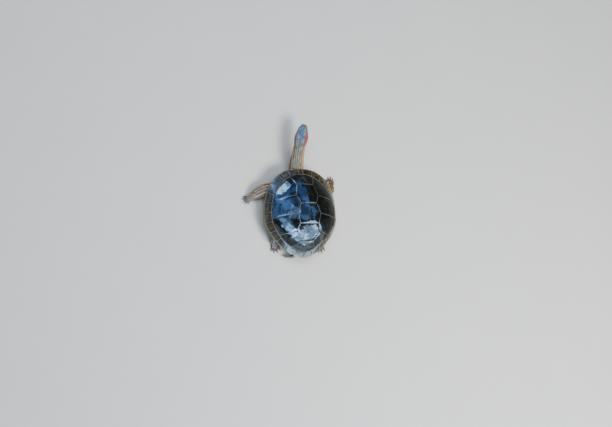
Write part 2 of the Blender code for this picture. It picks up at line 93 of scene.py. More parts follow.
def carapace_z(x, y):
    """Height of the upper shell. Towards the crown the egg's outline softens to an ellipse."""
    x, y = np.asarray(x, float), np.asarray(y, float)
    radius, across, along, power, shares = bearing(x, y)
    rim, margin, foot = mix(RIM_Z, shares), margin_radius(shares), mix(MARGIN_RISE, shares)
    softened = 2 + (power - 2) * np.minimum(radius / margin, 1) ** 2
    dome = (across ** softened + np.abs(along) ** softened) ** (1 / softened)
    inner = foot + (1 - foot) * (1 - np.minimum(dome / margin, 1) ** mix(DOME_POWER, shares))
    outer = foot * np.maximum(0, 1 - radius) / (1 - margin)
    return rim + (SHELL_HEIGHT - rim) * np.where(radius < margin, inner, outer)


print("Crown at", float(carapace_z(0.0, 0.0)), "rim at the side", float(carapace_z(0.094, WIDEST_Y)))

# %% [markdown]
# ### The rim as a curve
#
# Seams are placed along the rim, so its outline is also needed as a row of points. A share of
# 0 is the front and 1 the rear, and even shares are even lengths. Each point could be solved
# for, but reading between the entries of a fine table is quicker and close enough.

# %% Points along the rim
def rim_curve(count=1441):
    turn = np.linspace(0, math.pi, count)
    along, across = -np.cos(turn), np.maximum(0, np.sin(turn))
    power = np.where(along < 0, FRONT_POWER, REAR_POWER)
    reach = np.where(along < 0, FRONT_REACH, REAR_REACH) * np.sign(along)
    x = SHELL_WIDTH / 2 * across ** (2 / power)
    y = WIDEST_Y + reach * np.abs(along) ** (2 / power)
    run = np.concatenate(([0], np.cumsum(np.hypot(np.diff(x), np.diff(y)))))
    return run / run[-1], x, y, run[-1]


RIM_SHARE, RIM_X, RIM_Y, RIM_HALF_LENGTH = rim_curve()


def rim_at(share):
    return np.interp(share, RIM_SHARE, RIM_X), np.interp(share, RIM_SHARE, RIM_Y)


def inward(share, radius):
    x, y = rim_at(share)
    return x * radius, WIDEST_Y + (y - WIDEST_Y) * radius


def margin_at(share):
    *_, shares = bearing(*rim_at(share))
    return inward(share, margin_radius(shares))


MARGIN_SHARE = np.linspace(0, 1, 2001)
MARGIN_X, MARGIN_Y = margin_at(MARGIN_SHARE)


def share_where_y(wanted):
    return float(np.interp(wanted, MARGIN_Y, MARGIN_SHARE))


def share_where_x(wanted, rear=False):
    half = MARGIN_SHARE > 0.7 if rear else MARGIN_SHARE < 0.3
    order = np.argsort(MARGIN_X[half])
    return float(np.interp(wanted, MARGIN_X[half][order], MARGIN_SHARE[half][order]))


print("Half the rim is", round(RIM_HALF_LENGTH, 4), "m long")

# %% [markdown]
# ## Helpers that make meshes
#
# Blender can build a mesh vertex by vertex, but a plate has thousands of them. It is quicker to
# work out all points in arrays and hand them over at once, with named numbers on each vertex,
# such as its distance from the plate's edge. The materials read those numbers later. Every part
# here is a tube of equal loops or a slab of shrinking ones, so two helpers know all the faces.

# %% Meshes from arrays
def linked(name, data):
    made = bpy.data.objects.new(name, data)
    bpy.context.scene.collection.objects.link(made)
    return made


def store(mesh, numbers):
    """Puts named numbers on a mesh, one value for each vertex."""
    for label, values in numbers:
        mesh.attributes.new(label, "FLOAT", "POINT").data.foreach_set("value", np.asarray(values, np.float32))


def bare_mesh(name, points, faces):
    mesh = bpy.data.meshes.new(name)
    mesh.from_pydata(points, [], faces)
    mesh.update()
    return mesh


def facing_out(mesh):
    """Turns every face of a closed mesh to the outside."""
    bm = bmesh.new()
    bm.from_mesh(mesh)
    bmesh.ops.recalc_face_normals(bm, faces=bm.faces)
    bm.to_mesh(mesh)
    bm.free()


def to_object(name, points, faces, numbers=()):
    """A smooth closed piece from arrays of vertices and faces."""
    mesh = bare_mesh(name, points, faces)
    store(mesh, numbers)
    mesh.shade_smooth()
    facing_out(mesh)
    return linked(name, mesh)


def stand_for(piece, slot, *nodes):
    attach(piece, "root")
    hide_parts(*nodes)


def loop_faces(first, second, count):
    """Quads between two closed loops of vertices, given by their first numbers."""
    here = np.arange(count)
    after = (here + 1) % count
    return np.stack([first + here, first + after, second + after, second + here], 1)


def fan_faces(first, centre, count):
    here = np.arange(count)
    return np.stack([first + here, first + (here + 1) % count, np.full(count, centre)], 1)


def as_tuples(groups):
    return [tuple(face) for group in groups for face in group]


def tube_faces(loops, count, first_tip, last_tip, first=0):
    """Faces of a tube of equal loops that is closed by a fan to a tip at either end."""
    groups = [loop_faces(first + k * count, first + (k + 1) * count, count) for k in range(loops - 1)]
    groups += [fan_faces(first, first_tip, count), fan_faces(first + (loops - 1) * count, last_tip, count)]
    return as_tuples(groups)


def slab_faces(rings, count):
    """Faces of a slab whose top and bottom both shrink in rings to a middle point."""
    total = rings * count + 1
    groups = []
    for start in (0, total):
        groups += [loop_faces(start + k * count, start + (k + 1) * count, count) for k in range(rings - 1)]
        groups.append(fan_faces(start + (rings - 1) * count, start + total - 1, count))
    return as_tuples(groups + [loop_faces(0, total, count)])


def shrinking_rings(edge, centre, shares):
    """Plan points of an outline drawn towards a point by each share, and the point itself."""
    return np.vstack([(centre + (edge - centre) * shares[:, None, None]).reshape(-1, 2), centre])


def running_length(points):
    """Distance along a row of points, from 0 at the first."""
    return np.concatenate(([0], np.cumsum(np.linalg.norm(np.diff(points, axis=0), axis=1))))


def distance_to_outline(points, outline):
    """Shortest plan distance from each point to a closed outline."""
    nearest = np.full(len(points), np.inf)
    for a, b in zip(outline, np.roll(outline, -1, 0)):
        way = b - a
        t = np.clip(((points - a) @ way) / max(way @ way, 1e-16), 0, 1)
        nearest = np.minimum(nearest, np.linalg.norm(points - a - t[:, None] * way, axis=1))
    return nearest


print("Mesh helpers are ready")

# %% [markdown]
# ## The plates of the dome
#
# The dome carries five plates along the back and four on each flank. Each grows outwards from a
# small first plate near its upper rear, so it is meshed in rings that shrink to that point. A
# plate could be cut from one big dome, but separate closed plates give real seams between them.
# The edges roll down into the seams, and each plate is very slightly cushioned.

# %% Outlines of the plates
VERTEBRAL_SEAMS = ((0.200, 0.0214), (0.426, 0.0195), (0.650, 0.0232), (0.832, 0.0170))
VERTEBRAL_CORNERS = ((0.331, 0.0283), (0.539, 0.0289), (0.731, 0.0285))
FIRST_VERTEBRAL_FRONT = 0.0300
LAST_VERTEBRAL_REAR = 0.0270
PLEURAL_SEAM_STATIONS = (0.369, 0.567, 0.757)


def station_point(station, half):
    return half, SHELL_LENGTH * (station - 0.5)


def margin_arc(start, end, steps):
    return list(zip(*margin_at(np.linspace(start, end, steps + 1))))


def mirrored(points):
    return [(-x, y) for x, y in reversed(points)]


def plate_outlines():
    """Name and closed plan outline of each plate on the dome."""
    front, rear = share_where_x(FIRST_VERTEBRAL_FRONT), share_where_x(LAST_VERTEBRAL_REAR, rear=True)
    seams = [station_point(*seam) for seam in VERTEBRAL_SEAMS]
    corners = [station_point(*corner) for corner in VERTEBRAL_CORNERS]
    margins = [front, *(share_where_y(SHELL_LENGTH * (s - 0.5)) for s in PLEURAL_SEAM_STATIONS), rear]
    columns = [margin_arc(0, front, 14) + [seams[0]]]
    columns += [[seams[k], corners[k], seams[k + 1]] for k in range(3)]
    columns.append([seams[3]] + margin_arc(rear, 1, 14))
    outlines = {}
    for k, left in enumerate(columns):
        outlines[f"vertebral_{k + 1}"] = left + [(-x, y) for x, y in reversed(left) if x > 1e-9]
    inner = [[corners[0], seams[0]], [corners[1], seams[1], corners[0]],
             [corners[2], seams[2], corners[1]], [seams[3], corners[2]]]
    for k, edge in enumerate(inner):
        outline = margin_arc(margins[k], margins[k + 1], 30) + edge
        outlines[f"pleural_{k + 1}_left"] = outline
        outlines[f"pleural_{k + 1}_right"] = mirrored(outline)
    return outlines


PLATES = plate_outlines()
print(len(PLATES), "plates on the dome")

# %% [markdown]
# ### One plate
#
# A plate grows by adding horn all round. It is meshed the same way, in rings that start at its
# outline and shrink to the place where it began. A square grid would be simpler to lay out, but
# it would cut across the growth rings and the rolled edge.

# %% Rings from the edge of a plate to its first growth
PLATE_STEP = 0.0014  # between points along an edge
PLATE_RINGS = 56
PLATE_DEPTH = 0.0050
SEAM_GAP = 0.00006
EDGE_ROLL = 0.00055  # how far an edge sinks into its seam
EDGE_ROLL_WIDTH = 0.0007
CUSHION = 0.0007
RIPPLE = 0.00015
KEEL = 0.0011
KEEL_HALF_WIDTH = 0.0042
CORNER_ROUNDING = 2
GROWTH_SPACING = 0.112  # of one growth ring, as a share of a plate
GROWTH_RELIEF = 0.000015


def resample(outline, step):
    """The closed outline with points at an even step, its corners barely rounded."""
    ring = np.array(outline + outline[:1], float)
    run = running_length(ring)
    count = int(run[-1] / step)
    at = np.arange(count) / count * run[-1]
    points = np.stack([np.interp(at, run, ring[:, k]) for k in (0, 1)], 1)
    for _ in range(CORNER_ROUNDING):
        points = points * 0.5 + (np.roll(points, 1, 0) + np.roll(points, -1, 0)) * 0.25
    return points


def growth_centre(name, points):
    """Where a plate began: towards its rear, and towards the back on the flanks."""
    low, high = points.min(0), points.max(0)
    centre = (low + high) / 2
    centre[1] += 0.16 * (high[1] - low[1])
    if name.startswith("pleural"):
        centre[0] *= 0.86
    return centre


def ripple(x, y, seed):
    """A gentle unevenness, a few tenths of a millimetre over centimetres."""
    u = x + 0.007 * np.sin(y * 190 + seed * 1.3)
    v = y + 0.006 * np.sin(x * 230 - seed * 2.1)
    return (np.sin(u * 180 + seed * 1.7) * np.cos(v * 150 - seed * 2.3)
            + 0.5 * np.sin((u + 0.7 * v) * 330 + seed) * np.cos((u - v) * 240 + seed * 0.7))


def smooth_end(share):
    """Fades the growth rings out over the first small plate."""
    return np.clip(share / 0.25, 0, 1) ** 2


def make_plate(name, seed):
    edge = resample(PLATES[name], PLATE_STEP)
    centre = growth_centre(name, edge)
    drawn = centre + (edge - centre) * (1 - SEAM_GAP / np.linalg.norm(edge - centre, axis=1))[:, None]
    count = len(drawn)
    shares = 1 - (np.arange(PLATE_RINGS) / PLATE_RINGS) ** 1.15
    plan = shrinking_rings(drawn, centre, shares)
    share = np.append(np.repeat(shares, count), 0)
    border = distance_to_outline(plan, edge)
    x, y = plan.T
    height = carapace_z(x, y) - EDGE_ROLL * np.exp(-border / EDGE_ROLL_WIDTH)
    height += CUSHION * (1 - share ** 3) + RIPPLE * ripple(x, y, seed) * (1 - share ** 6)
    turns = share ** 1.4 / GROWTH_SPACING + 0.35 * ripple(x * 0.5, y * 0.5, seed + 3)
    height += GROWTH_RELIEF * np.sin(turns * 2 * math.pi) * (1 - share ** 8) * smooth_end(share)
    if name.startswith("vertebral"):
        low, high = edge[:, 1].min(), edge[:, 1].max()
        towards_rear = np.clip((y - low) / (high - low), 0, 1)
        keel = KEEL * (0.35 + 0.65 * towards_rear) * np.exp(-(x / KEEL_HALF_WIDTH) ** 2)
        height += keel * (1 - share ** 5)
    below = np.column_stack([drawn, carapace_z(*drawn.T) - PLATE_DEPTH])
    bottom = np.append(centre, carapace_z(*centre) - PLATE_DEPTH)
    points = np.vstack([np.column_stack([x, y, height]), below, bottom])
    top_centre = PLATE_RINGS * count
    low_ring = top_centre + 1
    faces = [loop_faces(k * count, (k + 1) * count, count) for k in range(PLATE_RINGS - 1)]
    faces += [loop_faces(low_ring, 0, count), fan_faces((PLATE_RINGS - 1) * count, top_centre, count),
              fan_faces(low_ring, low_ring + count, count)]
    numbers = (("edge_mm", np.append(border, np.zeros(count + 1)) / MM),
               ("growth", np.append(share, np.ones(count + 1))))
    piece = to_object("dome_" + name, points, as_tuples(faces), numbers)
    stand_for(piece, "scute", name)
    return piece


DOME = [make_plate(name, seed) for seed, name in enumerate(PLATES, start=1)]
print("Dome plates:", len(DOME), "faces:", sum(len(piece.data.polygons) for piece in DOME))

# %% [markdown]
# ## The rim
#
# Twenty-four small plates and a narrow one over the neck make the rim. They flare outwards, thin
# to a blunt edge, and are notched at the rear. A section of the rim, swept round in steps of its
# own length, gives all of them, and a number on each vertex tells how near it is to a seam.

# %% Sections of the rim
MARGINALS_A_SIDE = 12
NUCHAL_HALF_WIDTH = 0.0060
MARGINAL_GROUPS = (("front", 0, 4), ("bridge", 4, 7), ("rear", 7, 12))
REAR_NOTCH = 0.018
NOTCH_WIDTH = 0.010
RIM_THICKNESS = 0.0018
STEPS_A_MARGINAL = 22
TOP_STEPS = 16
UNDER_STEPS = 8

FIRST_SEAM = NUCHAL_HALF_WIDTH / RIM_HALF_LENGTH
SEAM_SHARES = FIRST_SEAM + (1 - FIRST_SEAM) * np.arange(MARGINALS_A_SIDE + 1) / MARGINALS_A_SIDE


def rim_sections(shares_along, side, ends):
    """Points and numbers for sections at the given shares of the rim.

    ends holds the seams before and after each section.
    """
    points, seam, rim_gap, under = [], [], [], []
    for share, (before, after) in zip(shares_along, ends):
        *_, shares = bearing(*rim_at(abs(share)))
        rim, margin = mix(RIM_Z, shares), margin_radius(shares)
        nearest = np.min(np.abs(abs(share) - SEAM_SHARES[8:]))
        edge = 1 - REAR_NOTCH * max(0.0, 1 - nearest / NOTCH_WIDTH)
        to_seam = min(share - before, after - share) * RIM_HALF_LENGTH
        sign = side * (1 if share >= 0 else -1)
        t = np.linspace(0, 1, TOP_STEPS)
        radius = margin + 0.001 + (edge - margin - 0.001) * t
        x, y = inward(abs(share), radius)
        inner_gap = np.hypot(x - x[0], y - y[0])
        outer_gap = np.hypot(x - x[-1], y - y[-1])
        roll = EDGE_ROLL * (math.exp(-to_seam / EDGE_ROLL_WIDTH) + np.exp(-inner_gap / EDGE_ROLL_WIDTH))
        z = carapace_z(x, y) - roll + 0.0005 * np.sin(math.pi * t) * min(1, to_seam / 0.004)
        z[-1] -= RIM_THICKNESS * 0.18
        top = np.column_stack([sign * x, y, z])
        u = np.linspace(0, 1, UNDER_STEPS)
        low_x, low_y = inward(abs(share), edge - (edge - margin - 0.001) * u - 0.002)
        low_z = rim - RIM_THICKNESS * (0.95 - 0.55 * u) + 0.0003 * np.exp(-to_seam / EDGE_ROLL_WIDTH)
        low = np.column_stack([sign * low_x, low_y, low_z])
        points.append(np.vstack([top, low]))
        seam.append(np.concatenate([np.minimum(to_seam, inner_gap), np.full(UNDER_STEPS, to_seam)]))
        rim_gap.append(np.concatenate([outer_gap, np.hypot(low_x - low_x[0], low_y - low_y[0])]))
        under.append(np.concatenate([np.zeros(TOP_STEPS), np.ones(UNDER_STEPS)]))
    return np.vstack(points), np.concatenate(seam), np.concatenate(rim_gap), np.concatenate(under)


def swept(name, shares_along, side, ends, node):
    points, seam, rim_gap, under = rim_sections(shares_along, side, ends)
    count, sections = TOP_STEPS + UNDER_STEPS, len(shares_along)
    tips = [points[:count].mean(0), points[-count:].mean(0)]
    faces = tube_faces(sections, count, len(points), len(points) + 1)
    extra = [0.0, 0.0]
    numbers = (("edge_mm", np.append(seam, extra) / MM), ("rim_mm", np.append(rim_gap, extra) / MM),
               ("under", np.append(under, extra)))
    piece = to_object(name, np.vstack([points, tips]), faces, numbers)
    stand_for(piece, "marginal_scute", node)
    return piece


def make_rim():
    shares = np.linspace(-FIRST_SEAM, FIRST_SEAM, 17)
    made = [swept("rim_nuchal", shares, 1, [(-FIRST_SEAM, FIRST_SEAM)] * len(shares), "nuchal")]
    for side, side_name in ((1, "left"), (-1, "right")):
        for group, first, last in MARGINAL_GROUPS:
            shares, ends = [], []
            for k in range(first, last):
                span = SEAM_SHARES[k + 1] - SEAM_SHARES[k]
                even = np.linspace(0, 1, STEPS_A_MARGINAL + 1)
                if k + 1 < last:
                    even = even[:-1]
                t = even - 0.11 * np.sin(2 * math.pi * even)
                shares += list(SEAM_SHARES[k] + span * t)
                ends += [(SEAM_SHARES[k], SEAM_SHARES[k + 1])] * len(t)
            ending = f"{group}_{side_name}"
            made.append(swept("rim_" + ending, shares, side, ends, "marginals_" + ending))
    return made


RIM = make_rim()
print("Rim pieces:", len(RIM), "faces:", sum(len(piece.data.polygons) for piece in RIM))

# %% [markdown]
# ## The lower shell
#
# The plastron is a flat bony plate with two bridges that climb to the rim. The grooves between
# its horny shields are shallow, so here they are pressed into one closed mesh. Twelve separate
# shields would be truer to how it grows, but they would add seams that nobody sees on a shell
# that lies on the floor. A number on each vertex tells how far the nearest groove is.

# %% Plastron
PLASTRON_DEPTH = 0.0052
PLASTRON_FLAT = 0.054
BRIDGE_OUTER = 0.0865
BRIDGE_CLIMB = 0.0226
BRIDGE_POWER = 1.6
PLASTRON_EDGE = (
    (0.0000, -0.0960), (0.0160, -0.0990), (0.0310, -0.0935), (0.0410, -0.0800),
    (0.0455, -0.0620), (0.0505, -0.0440), (0.0690, -0.0370), (BRIDGE_OUTER, -0.0330),
    (BRIDGE_OUTER, 0.0000), (BRIDGE_OUTER, 0.0300), (0.0690, 0.0370), (0.0520, 0.0430),
    (0.0435, 0.0560), (0.0410, 0.0720), (0.0355, 0.0850), (0.0225, 0.0925), (0.0065, 0.0905),
)
PLASTRON_SEAMS = ((-0.083, 1), (-0.056, 1), (-0.022, -1), (0.027, -1), (0.063, 1))  # and bend to the rear
SEAM_BEND = 0.0022
PLASTRON_RINGS = 60
GROOVE_DEPTH = 0.00035
EDGE_ROUNDING = 0.0016


def plastron_climb(x):
    beyond = np.maximum(0, np.abs(x) - PLASTRON_FLAT) / (BRIDGE_OUTER - PLASTRON_FLAT)
    return BRIDGE_CLIMB * beyond ** BRIDGE_POWER


def make_plastron():
    right = list(PLASTRON_EDGE)
    edge = resample(right + [(-x, y) for x, y in right[:0:-1]], 0.0018)
    centre = np.array((0.0, 0.0))
    plan = shrinking_rings(edge, centre, 1 - np.arange(PLASTRON_RINGS) / PLASTRON_RINGS)
    border = distance_to_outline(plan, edge)
    x, y = plan.T
    bend = SEAM_BEND * np.clip(np.abs(x) / 0.04, 0, 1)
    across = np.min([np.abs(y - seam - way * bend) for seam, way in PLASTRON_SEAMS], axis=0)
    groove = np.minimum(np.abs(x), across)
    blot = (np.abs(x) + 1e-5) ** -2 + (across + 1e-5) ** -2 + (border + 1e-5) ** -2
    rounding = EDGE_ROUNDING * np.clip(1 - border / EDGE_ROUNDING, 0, 1) ** 2
    low = plastron_climb(x) + rounding + GROOVE_DEPTH * np.exp(-(groove / 0.0006) ** 2)
    high = plastron_climb(x) + PLASTRON_DEPTH - rounding
    low = np.minimum(low, high - 0.001)
    points = np.vstack([np.column_stack([plan, low]), np.column_stack([plan, high])])
    numbers = (("edge_mm", np.tile(groove / MM, 2)), ("blot_mm", np.tile(blot ** -0.5 / MM, 2)))
    piece = to_object("plastron_shields", points, slab_faces(PLASTRON_RINGS, len(edge)), numbers)
    stand_for(piece, "plastron", "plastron")
    return piece


PLASTRON = make_plastron()
print("Plastron faces:", len(PLASTRON.data.polygons))

# %% [markdown]
# ## The centre lines of the soft parts
#
# The neck, the legs and the tail are tubes that bend. Each is described by a few cross-sections
# along a line, and a smooth curve runs through them. The same line later tells every point of
# the skin how far along it lies and on which side, which is all that a stripe needs to know.

# %% Stations and lines
SNOUT = np.array((-0.0158, -0.2205, 0.0450))
HEAD_BASE = np.array((-0.0030, -0.1722, 0.0438))
HEAD = (  # behind the snout, half width, height above, depth below
    (0.0000, 0.0032, 0.0028, 0.0022), (0.0014, 0.0058, 0.0052, 0.0050),
    (0.0050, 0.0082, 0.0071, 0.0069), (0.0100, 0.0102, 0.0092, 0.0084),
    (0.0160, 0.0123, 0.0109, 0.0097), (0.0230, 0.0145, 0.0119, 0.0109),
    (0.0300, 0.0162, 0.0122, 0.0119), (0.0375, 0.0169, 0.0122, 0.0126),
    (0.0440, 0.0164, 0.0121, 0.0128), (0.0500, 0.0151, 0.0119, 0.0126),
)
NECK = (
    (0.0000, -0.1580, 0.0418, 0.0147, 0.0130), (0.0020, -0.1430, 0.0368, 0.0156, 0.0138),
    (0.0028, -0.1270, 0.0300, 0.0170, 0.0142), (0.0030, -0.1105, 0.0232, 0.0182, 0.0138),
    (0.0025, -0.0860, 0.0225, 0.0190, 0.0138),
)
TAIL = (
    (0.0000, 0.0760, 0.0200, 0.0105, 0.0095), (0.0030, 0.0890, 0.0190, 0.0085, 0.0078),
    (0.0110, 0.0985, 0.0160, 0.0062, 0.0058), (0.0215, 0.1030, 0.0125, 0.0045, 0.0042),
    (0.0325, 0.1030, 0.0092, 0.0028, 0.0026), (0.0410, 0.1000, 0.0072, 0.0012, 0.0012),
)
FORE_LEG_LEFT = (
    (0.0420, -0.0520, 0.0220, 0.0170, 0.0120), (0.0620, -0.0595, 0.0212, 0.0172, 0.0120),
    (0.0820, -0.0600, 0.0195, 0.0168, 0.0120), (0.0980, -0.0540, 0.0160, 0.0150, 0.0110),
    (0.1090, -0.0485, 0.0115, 0.0122, 0.0092), (0.1155, -0.0450, 0.0078, 0.0106, 0.0069),
)
FORE_LEG_RIGHT = (
    (-0.0420, -0.0500, 0.0220, 0.0160, 0.0118), (-0.0600, -0.0535, 0.0202, 0.0160, 0.0116),
    (-0.0760, -0.0580, 0.0170, 0.0148, 0.0110), (-0.0870, -0.0650, 0.0125, 0.0124, 0.0095),
    (-0.0908, -0.0735, 0.0078, 0.0106, 0.0069),
)
HIND_LEG_LEFT = (
    (0.0380, 0.0380, 0.0220, 0.0155, 0.0120), (0.0500, 0.0450, 0.0205, 0.0150, 0.0117),
    (0.0580, 0.0530, 0.0165, 0.0136, 0.0106), (0.0610, 0.0600, 0.0118, 0.0120, 0.0092),
    (0.0612, 0.0660, 0.0078, 0.0106, 0.0069),
)
HIND_LEG_RIGHT = tuple((-station[0], *station[1:]) for station in HIND_LEG_LEFT)
LEGS = {"fore_left": FORE_LEG_LEFT, "fore_right": FORE_LEG_RIGHT,
        "hind_left": HIND_LEG_LEFT, "hind_right": HIND_LEG_RIGHT}
HEADINGS = {"fore_left": (0.860, 0.510), "fore_right": (-0.180, -0.984),
            "hind_left": (-0.300, 0.954), "hind_right": (0.300, 0.954)}
HEAD_ROLL = 24.0  # degrees: the head is tipped to its left, so that its right side turns up
NECK_ROLLS = (21.0, 18.0, 15.0, 12.0, 10.0)
LINE_STEP = 0.0010
SKIN_INSET = 0.00025  # the lofts are drawn in a little so that the finished skin stays inside


def unit(vectors):
    return vectors / np.linalg.norm(vectors, axis=-1, keepdims=True)


def smooth_rows(rows, step):
    """Rows (x, y, z, ...) joined by a smooth curve and sampled at an even step."""
    rows = np.array(rows, float)
    run = running_length(rows[:, :3])
    gaps = np.diff(run)
    slopes = np.diff(rows, axis=0) / gaps[:, None]
    tangents = np.vstack([slopes[:1], slopes[1:] * 0, slopes[-1:]])
    tangents[1:-1] = (slopes[:-1] * gaps[1:, None] + slopes[1:] * gaps[:-1, None]) / (
        gaps[:-1] + gaps[1:])[:, None]
    at = np.linspace(0, run[-1], int(run[-1] / step) + 2)
    k = np.clip(np.searchsorted(run, at, side="right") - 1, 0, len(gaps) - 1)
    h = gaps[k][:, None]
    t = (at - run[k])[:, None] / h
    return ((1 + 2 * t) * (1 - t) ** 2 * rows[k] + t * (1 - t) ** 2 * h * tangents[k]
            + t * t * (3 - 2 * t) * rows[k + 1] + t * t * (t - 1) * h * tangents[k + 1])


class Line:
    """A soft part's centre line with the frame and the size of its cross-sections."""

    def __init__(self, name, rows, squareness, rolls=None):
        rolls = rolls or [0.0] * len(rows)
        rows = smooth_rows([(*row, roll) for row, roll in zip(rows, rolls)], LINE_STEP)
        self.name, self.squareness = name, squareness
        self.centres = rows[:, :3]
        self.way = unit(np.gradient(self.centres, axis=0))
        across = unit(np.cross(self.way, (0, 0, 1)))
        upward = unit(np.cross(across, self.way))
        turn = np.radians(rows[:, 6])[:, None]
        self.across = across * np.cos(turn) - upward * np.sin(turn)
        self.upward = upward * np.cos(turn) + across * np.sin(turn)
        self.run = running_length(self.centres)
        self.width, self.up, self.down = rows[:, 3:6].T - SKIN_INSET

    def loft(self, sides=48):
        """Points and faces of the closed tube."""
        turn = np.arange(sides) / sides * 2 * math.pi
        power = 2 / self.squareness
        side = np.sign(np.cos(turn)) * np.abs(np.cos(turn)) ** power
        rise = np.sign(np.sin(turn)) * np.abs(np.sin(turn)) ** power
        height = np.where(rise > 0, self.up[:, None], self.down[:, None]) * rise
        points = (self.centres[:, None] + self.across[:, None] * (self.width[:, None] * side)[..., None]
                  + self.upward[:, None] * height[..., None]).reshape(-1, 3)
        faces = tube_faces(len(self.centres), sides, len(points), len(points) + 1)
        return np.vstack([points, self.centres[:1], self.centres[-1:]]), faces


def five_to_six(stations):
    return [(*station[:4], station[4], station[4]) for station in stations]


HEAD_WAY = unit(HEAD_BASE - SNOUT)
head_rows = [(*(SNOUT + HEAD_WAY * behind), width, up, down) for behind, width, up, down in HEAD]
head_rolls = [HEAD_ROLL] * len(HEAD) + list(NECK_ROLLS)
LINES = {"head": Line("head", head_rows + five_to_six(NECK), 2.30, head_rolls),
         "tail": Line("tail", five_to_six(TAIL), 2.1)}
for name, stations in LEGS.items():
    LINES[name] = Line(name, five_to_six(stations), 2.15)
LIMBS = [(number, name, line) for number, (name, line) in enumerate(LINES.items()) if name in LEGS]
for line in LINES.values():
    print(line.name, round(line.run[-1] / MM, 1), "mm long")

# %% [markdown]
# ## The feet
#
# A slider's foot is a flat palm with five toes and webs between them. It is built from simple
# closed bodies that overlap: a palm, a tapering tube for each toe with its knuckles, and one
# thin plate for the webs. They are joined with the rest of the body in the next step.

# %% Palms, toes and webs
FORE_TOES = ((-34, 0.0170, 0.0050), (-17, 0.0205, 0.0065), (0, 0.0215, 0.0070),
             (17, 0.0200, 0.0065), (34, 0.0168, 0.0050))  # angle, reach, claw
HIND_TOES = ((-40, 0.0205, 0.0050), (-20, 0.0240, 0.0055), (0, 0.0250, 0.0055),
             (19, 0.0235, 0.0050), (38, 0.0195, 0.0000))
TOE_RADIUS = {"fore": 0.0021, "hind": 0.0026}
WEB_SHARE, WEB_RINGS = 0.76, 14
TOE_ROWS = ((0.25, 1.15, 0.0046), (0.5, 1.2, 0.0040), (0.66, 1.05, 0.0032),
            (0.78, 1.16, 0.0029), (0.90, 0.98, 0.0024), (1.0, 0.62, 0.0020))  # reach, size, height
PALM_ROWS = (  # ahead of the ankle, half width, centre height, half height
    (-0.0060, 0.0098, 0.0085, 0.0070), (0.0000, 0.0098, 0.0068, 0.0064), (0.0050, 0.0096, 0.0056, 0.0056),
    (0.0100, 0.0092, 0.0042, 0.0042), (0.0140, 0.0072, 0.0030, 0.0028), (0.0165, 0.0040, 0.0022, 0.0018),
)


class Foot:
    """Places in a foot from the distance ahead of the ankle and to its left, seen from above."""

    def __init__(self, name):
        self.name = name
        self.end, self.side = name.split("_")
        self.turn_side = 1 if self.side == "left" else -1
        self.start = np.array(LEGS[name][-1][:2])  # the ankle
        self.ahead = unit(np.array(HEADINGS[name], float))
        self.left = np.array((-self.ahead[1], self.ahead[0]))
        toes = FORE_TOES if self.end == "fore" else HIND_TOES
        self.toes = [(math.radians(a * self.turn_side), r, c) for a, r, c in toes][::self.turn_side]

    def place(self, forward, aside, z):
        return (*(self.start + self.ahead * forward + self.left * aside), z)

    def out(self, angle, reach, z):
        return self.place(math.cos(angle) * reach, math.sin(angle) * reach, z)

    def local(self, points):
        offset = points[:, :2] - self.start
        return offset @ self.ahead, offset @ self.left

    def covers(self, points, behind, tallest):
        """Which points lie over the foot's plan and below a height."""
        forward, aside = self.local(points)
        flat = (forward > behind) & (forward < 0.034) & (np.abs(aside) < 0.022)
        return flat & (points[:, 2] < tallest)

    def toe_line(self, angle, reach):
        rows = []
        for share, size, z in TOE_ROWS:
            radius = TOE_RADIUS[self.end] * size
            rows.append((*self.out(angle, reach * share, z), radius, radius, radius))
        return Line("toe", rows, 2.0)

    def bodies(self):
        palm = [(*self.place(f, 0, z), w, h, h) for f, w, z, h in PALM_ROWS]
        made = [Line("palm", palm, 2.3).loft(40)]
        made += [self.toe_line(angle, reach).loft(20) for angle, reach, _ in self.toes]
        return made + [self.webs()]

    def webs(self):
        """A thin plate between the toes, thicker towards the palm."""
        outline = [(0.002, -0.0090)]
        for k, (angle, reach, _) in enumerate(self.toes):
            out = reach * 0.86
            outline.append((math.cos(angle) * out, math.sin(angle) * out))
            if k + 1 < len(self.toes):
                between = (angle + self.toes[k + 1][0]) / 2
                web = WEB_SHARE * (reach + self.toes[k + 1][1]) / 2
                outline.append((math.cos(between) * web, math.sin(between) * web))
        outline.append((0.002, 0.0090))
        edge = resample(outline, 0.0007)
        shares = 1 - np.arange(WEB_RINGS) / WEB_RINGS
        plan = shrinking_rings(edge, np.array((0.006, 0.0)), shares)
        share = np.append(np.repeat(shares, len(edge)), 0)
        top = 0.0021 + 0.0044 * (1 - share ** 1.1)
        spots = self.start + plan[:, :1] * self.ahead + plan[:, 1:] * self.left
        low = np.full(len(plan), -0.0001)
        points = np.vstack([np.column_stack([spots, top]), np.column_stack([spots, low])])
        return points, slab_faces(WEB_RINGS, len(edge))


FEET = {name: Foot(name) for name in HEADINGS}
print("Feet:", ", ".join(FEET))

# %% [markdown]
# ## One skin
#
# The trunk, neck, head, legs, feet and tail overlap, and a joined skin must show no seam where
# they meet. Cutting them together with Booleans would leave sharp creases. A voxel remesh wraps
# one even mesh round the whole lot instead, and a little smoothing then rounds the joins as
# flesh would. Where the skin is seen it is divided again, so that scales have points to move.

# %% Join and remesh
VOXEL = 0.0009
POCKET_START, POCKET_CLIMB, POCKET_ENDS = 0.040, 0.030, (0.030, 0.050)
TRUNK_UNDER_PLATES = 0.0070
WALLS_FROM = 0.70  # of the way to the rim, where skin can be seen between the shells
WALL_RECESS = 0.075  # how far the walls are drawn in, as a share of the way to the middle


